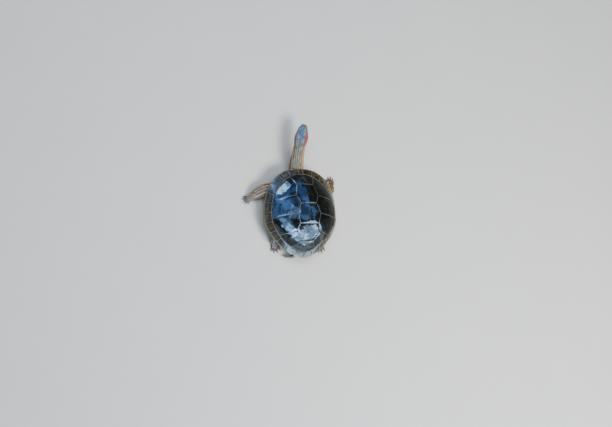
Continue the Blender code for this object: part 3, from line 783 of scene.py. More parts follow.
def trunk_body():
    """The body inside the shell. Its walls are drawn in, as skin is in the openings of a shell."""
    x, y = margin_at(np.linspace(0, 1, 120))
    outline = [(a * 0.985, WIDEST_Y + (b - WIDEST_Y) * 0.985) for a, b in zip(x, y)]
    edge = resample(outline + [(-a, b) for a, b in outline[-2:0:-1]], 0.0015)
    centre = np.array((0.0, WIDEST_Y))
    rings = 40

    def heights(plan):
        x, y = plan.T
        start, end = POCKET_ENDS
        pocket = np.clip((np.abs(y) - start) / (end - start), 0, 1)
        climb = POCKET_CLIMB * (np.maximum(0, np.abs(x) - POCKET_START) / POCKET_START) ** 1.2
        low = plastron_climb(x) * (1 - pocket) + climb * pocket + PLASTRON_DEPTH + 0.0004
        high = carapace_z(x, y) - TRUNK_UNDER_PLATES
        return high, np.minimum(low, high - 0.002)

    def loop(share, level):
        """One closed loop: share of the outline, and level from the roof, 0, to the floor, 1."""
        drawn_in = 1 - WALL_RECESS * np.clip((level - 0.10) / 0.35, 0, 1)
        plan = centre + (edge - centre) * share * drawn_in
        high, low = heights(plan)
        return np.column_stack([plan, high + (low - high) * level])

    levels = (0.0, 0.12, 0.2, 0.3, 0.4, 0.5, 0.65, 0.8, 1.0)
    loops = [loop(1 - k / rings, 0.0) for k in range(rings - 1, 0, -1)]
    loops += [loop(1.0, level) for level in levels]
    loops += [loop(1 - k / rings, 1.0) for k in range(1, rings)]
    ends = np.array([(*centre, heights(centre[None])[k][0]) for k in (0, 1)])
    points = np.vstack(loops + [ends])
    return points, tube_faces(len(loops), len(edge), len(points) - 2, len(points) - 1)


def joined_bodies():
    """All soft bodies in one mesh, each still closed by itself and facing outwards."""
    bodies = [trunk_body()] + [line.loft() for line in LINES.values()]
    for foot in FEET.values():
        bodies += foot.bodies()
    whole = bmesh.new()
    for points, faces in bodies:
        mesh = bare_mesh("body", points, faces)
        facing_out(mesh)
        whole.from_mesh(mesh)
        bpy.data.meshes.remove(mesh)
    mesh = bpy.data.meshes.new("bodies")
    whole.to_mesh(mesh)
    whole.free()
    return mesh


def remeshed(mesh, voxel):
    """The mesh wrapped in one even skin of small quads."""
    helper = linked("remesh_helper", mesh)
    modifier = helper.modifiers.new("Wrap", "REMESH")
    modifier.mode = "VOXEL"
    modifier.voxel_size = voxel
    modifier.adaptivity = 0.0
    graph = bpy.context.evaluated_depsgraph_get()
    wrapped = bpy.data.meshes.new_from_object(helper.evaluated_get(graph))
    bpy.data.objects.remove(helper)
    bpy.data.meshes.remove(mesh)
    return wrapped


def read_rows(items, field, width, kind=np.float32):
    """A field of Blender's items as an array, one row for each."""
    found = np.empty(len(items) * width, kind)
    items.foreach_get(field, found)
    return found.reshape(-1, width)


def coordinates(mesh):
    return read_rows(mesh.vertices, "co", 3).astype(float)


def set_coordinates(mesh, points):
    mesh.vertices.foreach_set("co", points.astype(np.float32).ravel())
    mesh.update()


def edge_pairs(mesh):
    return read_rows(mesh.edges, "vertices", 2, np.int32)


def normals_of(mesh):
    return read_rows(mesh.vertex_normals, "vector", 3).astype(float)


def tree_of(spots):
    tree = KDTree(len(spots))
    for number, spot in enumerate(spots):
        tree.insert(spot, number)
    tree.balance()
    return tree


def averaged(values, pairs, rounds, share):
    """Values moved towards the average of their neighbours. share may differ at each vertex."""
    a, b = pairs.T
    size = len(values)
    near = np.maximum(np.bincount(a, minlength=size) + np.bincount(b, minlength=size), 1)
    columns = values.reshape(size, -1)
    for _ in range(rounds):
        total = np.stack([np.bincount(a, column[b], size) + np.bincount(b, column[a], size)
                          for column in columns.T], 1)
        columns = columns + (total / near[:, None] - columns) * np.reshape(share, (-1, 1))
    return columns.reshape(values.shape)


def divided_where(mesh, chosen):
    """Divides the faces whose middle is chosen by a test on their coordinates."""
    bm = bmesh.new()
    bm.from_mesh(mesh)
    middles = np.array([face.calc_center_median() for face in bm.faces])
    picked = chosen(middles)
    edges = {edge for face, wanted in zip(bm.faces, picked) if wanted for edge in face.edges}
    bmesh.ops.subdivide_edges(bm, edges=list(edges), cuts=1, use_grid_fill=True)
    bm.to_mesh(mesh)
    bm.free()
    return mesh


def head_local(points):
    """Distance behind the snout, to the animal's left and above the head's axis."""
    line = LINES["head"]
    offset = points - SNOUT
    return offset @ HEAD_WAY, offset @ line.across[5], offset @ line.upward[5]


def seen(points):
    """Where skin shows: the neck and head, the legs and feet outside the shell, the tail."""
    x, y, z = points.T
    radius = bearing(x, y)[0]
    below = z < carapace_z(x, y) - TRUNK_UNDER_PLATES - 0.002
    limbs = np.zeros(len(points), bool)
    for line in LINES.values():
        spots = tree_of(line.centres)
        close = np.flatnonzero(np.abs(points - line.centres.mean(0)).max(1) < 0.09)
        for k in close:
            _, at, gap = spots.find(points[k])
            limbs[k] |= gap < 1.35 * line.width[at]
    beyond = radius > 0.97
    walls = (np.abs(y) > 0.040) & (z > PLASTRON_DEPTH + 0.001)
    return beyond | (limbs | walls) & below & (radius > WALLS_FROM) & (z > PLASTRON_DEPTH)


SKIN_MESH = remeshed(joined_bodies(), VOXEL)
SKIN_MESH = divided_where(SKIN_MESH, seen)
points = coordinates(SKIN_MESH)
pairs = edge_pairs(SKIN_MESH)
print("Skin after the first division:", len(points), "vertices")
points = averaged(points, pairs, 7, 0.5)
points[:, 2] = np.maximum(points[:, 2], 0.0)
set_coordinates(SKIN_MESH, points)

# %% [markdown]
# ## Where each point of the skin lies
#
# Every point looks up the nearest place on the centre lines. It learns which soft part it
# belongs to, how far along it lies, and its angle round the line: 0 on top, 90 on the animal's
# left, 180 below. Folds, scales and stripes are all drawn with these three numbers.

# %% Places along the soft parts
def locate(points):
    """The nearest line's number, distance along, angle round, distance from it and closeness."""
    part = np.full(len(points), -1)
    best = np.full(len(points), 1.5)
    run, angle, reach = (np.zeros(len(points)) for _ in range(3))
    for number, line in enumerate(LINES.values()):
        low, high = line.centres.min(0) - 0.030, line.centres.max(0) + 0.030
        close = np.flatnonzero(((points > low) & (points < high)).all(1))
        for piece in np.array_split(close, max(1, len(close) // 20000)):
            offset = points[piece][:, None] - line.centres[None]
            at = (offset ** 2).sum(2).argmin(1)
            way = offset[np.arange(len(piece)), at]
            aside = (way * line.across[at]).sum(1)
            above = (way * line.upward[at]).sum(1)
            forward = (way * line.way[at]).sum(1)
            height = np.where(above > 0, line.up[at], line.down[at])
            size = np.sqrt((aside / line.width[at]) ** 2 + (above / height) ** 2 + (forward / 0.012) ** 2)
            nearer = size < best[piece]
            chosen = piece[nearer]
            best[chosen] = size[nearer]
            part[chosen] = number
            run[chosen] = line.run[at[nearer]] + forward[nearer]
            angle[chosen] = np.degrees(np.arctan2(aside[nearer], above[nearer]))
            reach[chosen] = np.hypot(aside[nearer], above[nearer])
    return part, run, angle, reach, best


EYE_PLACE = (0.0140, 0.0078, 0.0034)  # behind the snout, to the side, above the head's axis
EYE_SURROUND = 0.0082


def around_head(points):
    """The parts of the head that need the finest mesh: the snout, the eyes and the jaws."""
    behind, aside, above = head_local(points)
    eyes = np.zeros(len(points), bool)
    for side in (1, -1):
        way = np.stack([behind - EYE_PLACE[0], aside - side * 0.0105, above - EYE_PLACE[2]])
        eyes |= (way ** 2).sum(0) < EYE_SURROUND ** 2
    narrow = np.abs(aside) < 0.02
    jaws = (behind < 0.0255) & (np.abs(above + 0.0015) < 0.0032) & narrow
    return (behind < 0.0060) & narrow & (np.abs(above) < 0.02) | eyes | jaws


SKIN_MESH = divided_where(SKIN_MESH, around_head)
points = coordinates(SKIN_MESH)
pairs = edge_pairs(SKIN_MESH)
points = averaged(points, pairs, 3, np.where(around_head(points), 0.4, 0.12))
part, run, angle, reach, closeness = locate(points)
print("Skin vertices:", len(points), "by part:", np.bincount(part + 1))

# %% [markdown]
# ## The face
#
# The head is what people look at first. Its lids are pushed out over the eyeball round an
# almond opening, the upper beak overhangs the lower jaw, and the nostrils are pits above it.
# Sculpting by hand would do as well, but pushes that are written down can be changed one by
# one, and they come out the same on both sides.

# %% Eyelids
EYEBALL_RADIUS = 0.00455
LID_RADIUS = 0.00515
SOCKET_RADIUS = 0.00395
EYE_HALF_LENGTH = 0.0037
EYE_HALF_HEIGHT = 0.0027


def smoothstep(low, high, value):
    t = np.clip((value - low) / (high - low), 0, 1)
    return t * t * (3 - 2 * t)


HEAD_LEFT, HEAD_UP = LINES["head"].across[5], LINES["head"].upward[5]


def eye_centre(side):
    behind, aside, above = EYE_PLACE
    return SNOUT + HEAD_WAY * behind + HEAD_LEFT * side * aside + HEAD_UP * above


def eye_axes(side):
    """Outwards, backwards and upwards for an eye that looks to the side, a little ahead and up."""
    out = unit(HEAD_LEFT * side - HEAD_WAY * 0.22 + HEAD_UP * 0.22)
    back = unit(HEAD_WAY - out * (HEAD_WAY @ out))
    up = np.cross(back, out) * side
    return out, back, up


def eye_opening(along, above):
    """Positive inside the almond opening of the lids, in metres."""
    share = np.clip(np.abs(along + 0.0002) / EYE_HALF_LENGTH, 0, 1)
    half_height = EYE_HALF_HEIGHT * np.sqrt(np.maximum(1 - share ** 2.4, 0))
    return half_height - np.abs(above) - 0.0004 * (share > 0.999)


lid = np.zeros(len(points))
for side in (1, -1):
    out, back, up = eye_axes(side)
    behind, aside, above = head_local(points)
    brow = np.exp(-(((behind - 0.0145) / 0.0075) ** 2 + ((above - 0.0040) / 0.0052) ** 2)) * (part == 0)
    points = points + np.outer(0.00115 * brow * smoothstep(0.004, 0.008, aside * side), HEAD_LEFT * side)
    way = points - eye_centre(side)
    gap = np.linalg.norm(way, axis=1)
    ray = way / np.maximum(gap, 1e-9)[:, None]
    facing = ray @ out
    near = (gap < 0.0105) & (facing > 0.15)
    opening = eye_opening(ray @ back * EYEBALL_RADIUS, ray @ up * EYEBALL_RADIUS)
    bulge = smoothstep(0.30, 0.62, facing)
    shaped = gap + (np.maximum(LID_RADIUS, gap - 0.0007) - gap) * bulge
    crease = np.exp(-((facing - 0.50) / 0.07) ** 2) * 0.00028
    shaped = np.where(facing > 0.25, shaped - crease, shaped)
    pulled = smoothstep(-0.00012, 0.00022, opening)
    shaped = shaped * (1 - pulled) + SOCKET_RADIUS * pulled
    points[near] = (eye_centre(side) + ray * shaped[:, None])[near]
    lid[near] = np.maximum(lid, np.exp(-(opening / 0.0006) ** 2) * (facing > 0.3))[near]

# %% [markdown]
# ### Beak, mouth and nostrils
#
# A turtle has no lips. The horn edge of the upper beak overlaps the lower one along a line that
# dips behind the snout. Each point is pushed in or out by its height above that line, which
# works wherever the line bends. The nostrils are two pits with a low rim.

# %% Beak, mouth line and nostrils
JAW_LINE = ((-0.002, -0.0006), (0.000, -0.0009), (0.004, -0.0016), (0.009, -0.0026), (0.014, -0.0020),
            (0.019, -0.0010), (0.0225, -0.0022), (0.0255, -0.0042))
MOUTH_CORNER = 0.0245
BEAK_PROFILE = (  # push, height above the jaw line and width of the slit, the beak and the lower jaw
    (-0.00075, 0.0, 0.00030), (0.00028, 0.0010, 0.0007), (-0.00040, -0.0010, 0.0008),
)
NOSTRIL_ASIDE, NOSTRIL_ABOVE = 0.00155, 0.0022
NOSTRIL_RIM, NOSTRIL_PIT = 0.00018, 0.00100


def outwards_from_axis(points):
    """Unit directions away from the head's axis, blunt at the snout."""
    behind = head_local(points)[0]
    return unit(points - (SNOUT + HEAD_WAY * np.maximum(behind, 0.006)[:, None]) + 1e-9)


def sculpt_beak(points):
    behind, aside, above = head_local(points)
    head_only = (part == 0) & (behind < 0.032)
    out = outwards_from_axis(points)
    line = np.interp(behind, *zip(*JAW_LINE))
    line = line + 0.0007 * np.exp(-(aside / 0.0009) ** 2) * smoothstep(0.003, 0.0005, behind)
    lift = above - line
    side_wall = smoothstep(-0.0105, -0.006, above) * smoothstep(0.008, 0.004, above)
    before_corner = smoothstep(MOUTH_CORNER + 0.001, MOUTH_CORNER - 0.0015, behind)
    push = sum(height * np.exp(-((lift - at) / width) ** 2) for height, at, width in BEAK_PROFILE)
    push *= side_wall * before_corner
    past_corner = np.exp(-((behind - MOUTH_CORNER - 0.001) / 0.0014) ** 2 - ((above + 0.0040) / 0.0020) ** 2)
    push -= 0.00025 * past_corner
    points = points + out * (push * head_only)[:, None]
    return points, lift, before_corner * head_only


def nostril_gap(points, side, depth):
    """Distance to a nostril's middle, and whether a point is near enough to the snout's tip."""
    behind, aside, above = head_local(points)
    offset = np.stack([aside - side * NOSTRIL_ASIDE, above - NOSTRIL_ABOVE, behind - depth])
    return np.linalg.norm(offset, axis=0), behind < 0.004


def sculpt_nostrils(points):
    for side in (1, -1):
        gap, near = nostril_gap(points, side, 0.0004)
        rim = NOSTRIL_RIM * np.exp(-((gap - 0.0010) / 0.00035) ** 2)
        pit = NOSTRIL_PIT * np.exp(-(gap / 0.00052) ** 2)
        points = points + HEAD_WAY * ((pit - rim) * near)[:, None]
    return points


points, jaw_lift, jaw_weight = sculpt_beak(points)
points = sculpt_nostrils(points)
behind = head_local(points)[0]
nostril = np.zeros(len(points))
for side in (1, -1):
    gap, near = nostril_gap(points, side, 0.0009)
    nostril = np.maximum(nostril, np.exp(-(gap / 0.0007) ** 2) * near)

# %% [markdown]
# ### Eardrum, cheeks and folds
#
# The eardrum is a faint disc behind the mouth, the jaw's muscle bulges below it, and loose skin
# folds towards the shell. A fold is a wave along the neck, bent by a second wave so that none
# runs straight. Cloth could be simulated for this, but written waves can be set one by one.

# %% Eardrum, cheeks and the folds of the neck
# height in mm, distance along in mm and its spread, angle round and its spread
JAW_AND_TEMPLE = ((0.60, 29, 5.5, 116, 24), (-0.32, 24, 5.0, 58, 20))
LIMB_FOLD = 0.20  # mm
SLEEVE_FOLD, SLEEVE_CREASE = 0.60, 0.14  # mm


def head_and_neck_relief(run, angle):
    """Height in metres of the eardrum's ring, the neck's folds and the loose skin at its root."""
    b, a = run / MM, angle
    ear_gap = np.sqrt((b - 34.5) ** 2 + ((np.abs(a) - 92) * 0.27) ** 2)
    muscles = sum(height * np.exp(-((b - at) / length) ** 2 - ((np.abs(a) - side) / spread) ** 2)
                  for height, at, length, side, spread in JAW_AND_TEMPLE)
    ear = -0.16 * np.exp(-((ear_gap - 3.6) / 0.55) ** 2) + 0.10 * np.exp(-(ear_gap / 2.6) ** 2)
    wander = 2.4 * np.sin(np.radians(a * 2) + 0.8) + 1.3 * np.sin(np.radians(a * 5) + 2.1)
    folds = np.sin((b + wander) * 2 * math.pi / 6.8)
    folds += 0.5 * np.sin((b - wander * 1.4) * 2 * math.pi / 3.9 + 1)
    amount = 0.10 * smoothstep(50, 62, b) + 0.26 * smoothstep(84, 104, b)
    strings = 0.10 * np.sin(np.radians(a * 17) + 0.05 * b) * smoothstep(54, 70, b) * smoothstep(112, 90, b)
    return (muscles + ear + amount * (np.abs(folds + 0.25) - 0.75) + strings) * MM


def fold_relief(part, run, angle):
    relief = np.where(part == 0, head_and_neck_relief(run, angle), 0)
    b = run / MM
    wave = np.sin((b + 2 * np.sin(np.radians(angle * 2))) * 2 * math.pi / 5.6)
    for number, _, line in LIMBS:
        near_bend = np.exp(-((b - line.run[-1] / MM + 12) / 9) ** 2)
        relief += np.where(part == number, LIMB_FOLD * MM * near_bend * (np.abs(wave) - 0.7), 0)
    return relief


def sleeve_folds(points, closeness):
    """Folds of loose skin that ring the neck, the legs and the tail where they leave the shell."""
    tree = tree_of(np.vstack([line.centres for line in LINES.values()]))
    x, y, z = points.T
    wall = (closeness > 0.98) & (bearing(x, y)[0] > WALLS_FROM) & (z > PLASTRON_DEPTH) & (z < 0.038)
    gap = np.zeros(len(points))
    for k in np.flatnonzero(wall):
        gap[k] = tree.find(points[k])[2] / MM
    waver = 0.9 * np.sin(x * 260 + 1.0) + 0.8 * np.sin(y * 310) + 0.7 * np.sin(z * 420 + x * 150)
    wave = np.abs(np.sin((gap + waver) * math.pi / 4.9)) ** 0.8
    fine = np.abs(np.sin((gap * 1.3 - waver) * math.pi / 2.3))
    height = SLEEVE_FOLD * (wave - 0.75) + SLEEVE_CREASE * (fine - 0.6)
    return np.where(wall, height * smoothstep(0.98, 1.3, closeness), 0) * MM


set_coordinates(SKIN_MESH, points)
normals = normals_of(SKIN_MESH)
relief = fold_relief(part, run, angle) + sleeve_folds(points, closeness)
points = points + normals * (relief * smoothstep(0, 0.002, points[:, 2]))[:, None]
print("Face and folds are modelled")

# %% [markdown]
# ## Scales
#
# Small plates of horn cover the limbs, and fine grains cover the neck. Points are scattered over
# the skin, never closer together than the scale's size, and every vertex belongs to the nearest
# one. Where two are almost equally near runs a groove. The grooves are real dents in the mesh,
# so they catch the light from the side. Finer grain is left to the material.

# %% Scatter and press the scales
SCALE_RELIEF = 0.00024
HEAD_SCALES_FADE = (36, 62)  # mm behind the snout: the head is smooth, the neck is scaled
GROOVE_SHARE = 0.42  # of a scale's size, over which it rises from its groove
SCALE_CLEARANCE = 0.86  # of a scale's size, within which no other begins
NEIGHBOURS = [(i, j, k) for i in (-1, 0, 1) for j in (-1, 0, 1) for k in (-1, 0, 1)]


def scale_sizes(part, run, angle, points):
    """Wanted distance between scales in metres, 0 where the skin carries none."""
    b, z = run / MM, points[:, 2]
    wall = (z > PLASTRON_DEPTH + 0.001) & (bearing(*points.T[:2])[0] > WALLS_FROM)
    size = np.where((part < 0) & wall & (z < 0.036), 1.7, 0.0)
    size = np.where((part == 0) & (b > 36), 1.25 + 0.35 * smoothstep(60, 110, b), size)
    size = np.where(part == 1, 1.9, size)
    for number, name, line in LIMBS:
        left = line.run[-1] / MM - b
        lead = np.cos(np.radians(angle - (60 if name.endswith("left") else -60)))
        plates = 1.7 + 1.0 * smoothstep(0.2, 0.9, lead) * smoothstep(40, 20, left)
        size = np.where(part == number, plates, size)
        on_foot = 1.9 - 0.3 * smoothstep(0.010, 0.018, FEET[name].local(points)[0])
        size = np.where(FEET[name].covers(points, -0.004, 0.02), on_foot, size)
    return np.where(z < 0.0004, 0, size) * MM


def scattered(points, sizes, seed):
    """Numbers of the points kept so that no two lie closer than the size there."""
    candidates = np.flatnonzero(sizes > 0)
    np.random.default_rng(seed).shuffle(candidates)
    cell = sizes.max()
    grid, kept = {}, []
    homes = np.floor(points / cell).astype(int)
    for k in candidates:
        hx, hy, hz = homes[k]
        limit = (SCALE_CLEARANCE * sizes[k]) ** 2
        px, py, pz = points[k]
        crowded = any((px - qx) ** 2 + (py - qy) ** 2 + (pz - qz) ** 2 < limit for i, j, m in NEIGHBOURS
                      for qx, qy, qz in grid.get((hx + i, hy + j, hz + m), ()))
        if not crowded:
            grid.setdefault((hx, hy, hz), []).append((px, py, pz))
            kept.append(k)
    return np.array(kept)


def scale_field(points, sizes):
    """For each vertex: 0 in a groove to 1 on a scale, and a number that its whole scale shares."""
    kept = scattered(points, sizes, 7)
    tree = tree_of(points[kept])
    own_numbers = np.random.default_rng(11).random(len(kept))
    raised, own = np.ones(len(points)), np.full(len(points), 0.5)
    for k in np.flatnonzero(sizes > 0):
        (_, first, near), (_, _, far) = tree.find_n(points[k], 2)
        raised[k] = (far - near) / sizes[k]
        own[k] = own_numbers[first]
    return smoothstep(0.0, GROOVE_SHARE, raised), own, len(kept)


sizes = scale_sizes(part, run, angle, points)
raised, scale_own, scale_count = scale_field(points, sizes)
fade_in = np.where(part == 0, smoothstep(*HEAD_SCALES_FADE, run / MM), 1.0)
raised = 1 - (1 - raised) * fade_in
scale_own = 0.5 + (scale_own - 0.5) * fade_in
set_coordinates(SKIN_MESH, points)
normals = normals_of(SKIN_MESH)
depth = SCALE_RELIEF * np.clip(sizes / 0.0019, 0.5, 1.3) * (sizes > 0)
points = points - normals * (depth * (1 - raised))[:, None]
points[:, 2] = np.maximum(points[:, 2], 0.0)
print("Scales:", scale_count)

# %% [markdown]
# ## Stripes
#
# A slider's dark skin has yellow stripes, and behind each eye lies the red one that names it.
# Painting an image would do, but a stripe is simpler as a line with a width. Each is a list of
# (distance along, angle round, half width), and each vertex stores how deep inside the nearest
# stripe it lies. The material turns that smooth number into a crisp edge.

# %% Draw the stripes
RED_STRIPES = (
    ((18.6, 64, 0.5), (22, 66, 1.3), (27, 68, 2.3), (34, 69, 2.9), (41, 70, 2.6), (47, 70, 1.9),
     (54, 69, 0.8)),
)
HEAD_STRIPES = (
    ((3.5, 0, 0.3), (8, 0, 0.45), (13, 0, 0.4), (18, 0, 0.2)),
    ((1.8, 16, 0.2), (4, 26, 0.3), (7, 33, 0.32), (11, 36, 0.3), (16, 34, 0.3), (24, 31, 0.34),
     (36, 26, 0.34), (52, 18, 0.4), (80, 11, 0.5), (120, 9, 0.5)),
    ((19, 46, 0.25), (28, 44, 0.35), (40, 42, 0.4), (56, 36, 0.5), (82, 31, 0.6), (120, 30, 0.6)),
    ((50, 68, 0.9), (58, 63, 1.5), (70, 58, 1.8), (95, 54, 1.8), (120, 53, 1.7)),
    ((1.0, 96, 0.4), (6, 86, 0.5), (10.5, 86, 0.4)),
    ((19, 84, 0.4), (24, 95, 0.7), (32, 103, 0.9), (42, 103, 0.9), (60, 92, 1.0), (90, 84, 1.1),
     (120, 83, 1.1)),
    ((2.0, 118, 0.5), (10, 112, 0.6), (18, 109, 0.7), (25, 112, 0.9), (34, 122, 1.1), (48, 124, 1.1),
     (70, 118, 1.2), (120, 115, 1.2)),
    ((3, 150, 0.5), (12, 142, 0.8), (24, 143, 0.9), (44, 148, 1.0), (80, 150, 1.1), (120, 150, 1.1)),
    ((14, 178, 0.6), (20, 180, 1.0), (34, 180, 1.2), (60, 180, 1.1), (120, 180, 1.1)),
    ((16, 179, 0.7), (8, 160, 0.6), (4, 152, 0.4)),
)
LEG_STRIPES = (  # angle from the top towards the leading edge
    ((0, 70, 2.3), (200, 72, 1.9)), ((0, 38, 0.8), (200, 42, 0.8)), ((0, 10, 0.6), (200, 10, 0.6)),
    ((0, -30, 0.8), (200, -30, 0.8)), ((0, -72, 0.9), (200, -72, 0.9)), ((0, 130, 1.0), (200, 130, 1.0)),
    ((0, 180, 0.9), (200, 180, 0.9)),
)
TAIL_STRIPES = (
    ((0, 26, 0.6), (60, 30, 0.3)), ((0, 80, 0.8), (60, 80, 0.4)), ((0, 140, 0.8), (60, 140, 0.4)),
)


def stripe_depth(run_mm, angle, reach_mm, stripes, both_sides=True):
    """How deep in millimetres each place lies inside the nearest stripe, negative outside."""
    best = np.full(len(run_mm), -9.0)
    places = np.abs(angle) if both_sides else angle
    for stripe in stripes:
        for (b0, a0, w0), (b1, a1, w1) in zip(stripe, stripe[1:]):
            scale = np.radians(1) * reach_mm
            db, da = b1 - b0, (a1 - a0) * scale
            turn = (places - a0 + 180) % 360 - 180
            px, py = run_mm - b0, turn * scale
            t = np.clip((px * db + py * da) / (db * db + da * da), 0, 1)
            gap = np.hypot(px - db * t, py - da * t)
            best = np.maximum(best, w0 + (w1 - w0) * t - gap)
    return best


def wandering(points, amount):
    """A slow unevenness in millimetres, so that no stripe runs ruler-straight."""
    x, y, z = (points * 1000).T
    return amount * (np.sin(x * 0.31 + 1.3 * np.sin(y * 0.23)) + np.sin(y * 0.37 + z * 0.29)
                     + 0.5 * np.sin((x + y + z) * 0.83 + 0.7))


def draw_stripes(points, part, run, angle, reach):
    b, r = run / MM, np.maximum(reach / MM, 2.0)
    uneven = wandering(points, 0.16)
    red = np.where(part == 0, stripe_depth(b, angle, r, RED_STRIPES), -9)
    yellow = np.where(part == 0, stripe_depth(b, angle, r, HEAD_STRIPES), -9)
    broad = np.where(part == 0, stripe_depth(b, angle, r, HEAD_STRIPES[3:4]), -9)
    yellow = np.where(part == 1, stripe_depth(b, angle, r, TAIL_STRIPES), yellow)
    for number, name, _ in LIMBS:
        lead = angle if name in ("fore_left", "hind_right") else -angle
        bold = stripe_depth(b, lead, r, LEG_STRIPES, both_sides=False)
        edge = stripe_depth(b, lead, r, LEG_STRIPES[:1], both_sides=False)
        yellow = np.where(part == number, bold, yellow)
        broad = np.where(part == number, edge, broad)
        yellow = foot_stripes(points, name, yellow)
    fade = uneven - 12 * np.maximum(0, closeness - 1.12)
    return red + uneven, np.maximum(yellow + fade, -9), np.maximum(broad + fade, -9)


def foot_stripes(points, name, yellow):
    """A stripe along the back of each toe, and one on either side of the foot."""
    foot = FEET[name]
    forward, aside = foot.local(points)
    toes = np.full(len(points), -9.0)
    for turn, length, _ in foot.toes:
        along = forward * math.cos(turn) + aside * math.sin(turn)
        beside = -forward * math.sin(turn) + aside * math.cos(turn)
        inside = 0.00062 - np.abs(beside)
        started = inside - np.maximum(0, 0.0105 - along) * 0.4
        toes = np.maximum(toes, np.where(along < length + 0.002, started / MM, -9))
    mixed = np.maximum(toes, yellow - np.maximum(0, forward / MM - 3) * 0.5)
    return np.where(foot.covers(points, 0.002, 0.0125), mixed, yellow)


red_depth, yellow_depth, broad_depth = draw_stripes(points, part, run, angle, reach)
underside = smoothstep(0.15, -0.55, normals[:, 2])
feet_near = np.zeros(len(points))
for foot in FEET.values():
    forward, aside = foot.local(points)
    feet_near = np.maximum(feet_near, smoothstep(-0.012, 0.002, forward) * (np.abs(aside) < 0.022)
                           * (forward < 0.036) * (points[:, 2] < 0.016))
limb = ((part > 1) | (feet_near > 0.3)).astype(float)
limb = averaged(limb, pairs, 6, 0.5)

# %% [markdown]
# ### Numbers for the skin's material
#
# The material has to know where stripes, scales, lids and mouth lie. They are stored as numbers
# on the mesh, which blend smoothly between vertices and need no unwrapped image.

# %% Finish the skin
def finish_skin(mesh, points):
    set_coordinates(mesh, points)
    store(mesh, (
        ("red_mm", red_depth), ("yellow_mm", yellow_depth), ("broad_mm", broad_depth),
        ("raised", raised), ("own", scale_own), ("under", underside), ("limb", limb),
        ("horn", jaw_weight * smoothstep(0.0042, 0.0030, np.abs(jaw_lift - 0.0002))),
        # painted shade: the nostril pits and the slit between the jaws, to be coloured near-black
        ("painted_pit_shade", np.maximum(nostril, jaw_weight * np.exp(-(jaw_lift / 0.00028) ** 2))),
        ("lid", lid), ("face", smoothstep(0.060, 0.040, behind) * (part == 0))))
    mesh.name = "skin"
    mesh.shade_smooth()
    made = linked("skin", mesh)
    nodes = ["trunk", "neck", "head", "lower_jaw", "tail"]
    nodes += [f"{end}_{what}_{side}" for end in ("fore", "hind") for what in ("leg", "foot")
              for side in ("left", "right")]
    stand_for(made, "skin", *nodes)
    return made


SKIN = finish_skin(SKIN_MESH, points)
print("Skin faces:", len(SKIN.data.polygons))

# %% [markdown]
# ## The eyes
#
# A slider's eye is yellow-green with a round pupil and a dark bar straight through it. It sits
# behind the lids, so each is a ball whose front shows through the opening. A flat disc would do
# from one side, but a ball catches the light from everywhere. The iris is coloured by the angle
# from the axis of sight, stored on each vertex.

# %% Eyeballs
def make_eye(side, node):
    out, back, up = eye_axes(side)
    rings, sides = 56, 64
    tilt = np.linspace(0, math.pi, rings + 1)[1:-1]
    turn = np.arange(sides) / sides * 2 * math.pi
    lens = 1 + 0.045 * np.exp(-(tilt / 0.50) ** 2)
    ring = (np.cos(tilt)[:, None, None] * out + np.sin(tilt)[:, None, None]
            * (np.cos(turn)[None, :, None] * back + np.sin(turn)[None, :, None] * up))
    rays = np.vstack([(ring * lens[:, None, None]).reshape(-1, 3), out * 1.045, -out])
    made = eye_centre(side) + rays * EYEBALL_RADIUS
    faces = tube_faces(rings - 1, sides, len(made) - 2, len(made) - 1)
    flat = unit(rays)
    numbers = (("from_axis", np.degrees(np.arccos(np.clip(flat @ out, -1, 1)))),
               ("bar", np.degrees(np.arcsin(np.clip(flat @ up, -1, 1)))),
               ("turn", np.arctan2(flat @ up, flat @ back)))
    piece = to_object("eyeball_" + node, made, faces, numbers)
    stand_for(piece, "eye", "eye_" + node)
    return piece


EYES = [make_eye(1, "left"), make_eye(-1, "right")]
print("Eyes:", len(EYES))

# %% [markdown]
# ## The claws
#
# Each toe but the outer hind one ends in a horn claw that curves down to the floor. They are
# tubes that taper along an arc. The claws of one foot make one piece, sunk into its toes.

# %% Claws
CLAW_RADIUS = {"fore": 0.00125, "hind": 0.00130}
CLAW_ROOT = 0.0018  # how deep a claw is sunk into its toe
CLAW_SIDES = 20


def claw_line(foot, angle, reach, claw):
    rows = []
    for share in np.linspace(0, 1, 9):
        size = CLAW_RADIUS[foot.end] * (1 - share ** 1.6) + 0.00013
        z = 0.0026 + 0.0007 * math.sin(math.pi * min(1, share * 1.2)) - 0.0023 * share ** 2.2
        out = reach - CLAW_ROOT + (claw + CLAW_ROOT) * share
        spot = foot.out(angle + 0.05 * share, out, max(z, size * 1.02))
        rows.append((*spot, size * 0.82, size, size * 0.9))
    line = Line("claw", rows, 2.0)
    line.width, line.up, line.down = (size + SKIN_INSET for size in (line.width, line.up, line.down))
    return line


def make_claws(foot):
    points, faces, along = [], [], []
    for angle, reach, claw in foot.toes:
        if claw > 0:
            line = claw_line(foot, angle, reach, claw)
            made, tube = line.loft(CLAW_SIDES)
            faces += [tuple(len(points) + k for k in face) for face in tube]
            points += list(made)
            along += [*np.repeat(line.run / line.run[-1], CLAW_SIDES), 0, 1]
    piece = to_object("claws_" + foot.name, points, faces, [("along", along)])
    stand_for(piece, "foot_skin", f"{foot.end}_foot_{foot.side}")
    return piece


CLAWS = [make_claws(foot) for foot in FEET.values()]
print("Claw pieces:", len(CLAWS))

# %% [markdown]
# ## Tools for finishes
#
# Some effects serve several finishes: soft blotches, growth rings, a crisp band at a measured
# distance, fine grain. Each is a node group with named inputs, made once and placed where it is
# wanted with that finish's own values.

# %% Helpers for node trees
def rgb(red, green, blue):
    return (red, green, blue, 1.0)


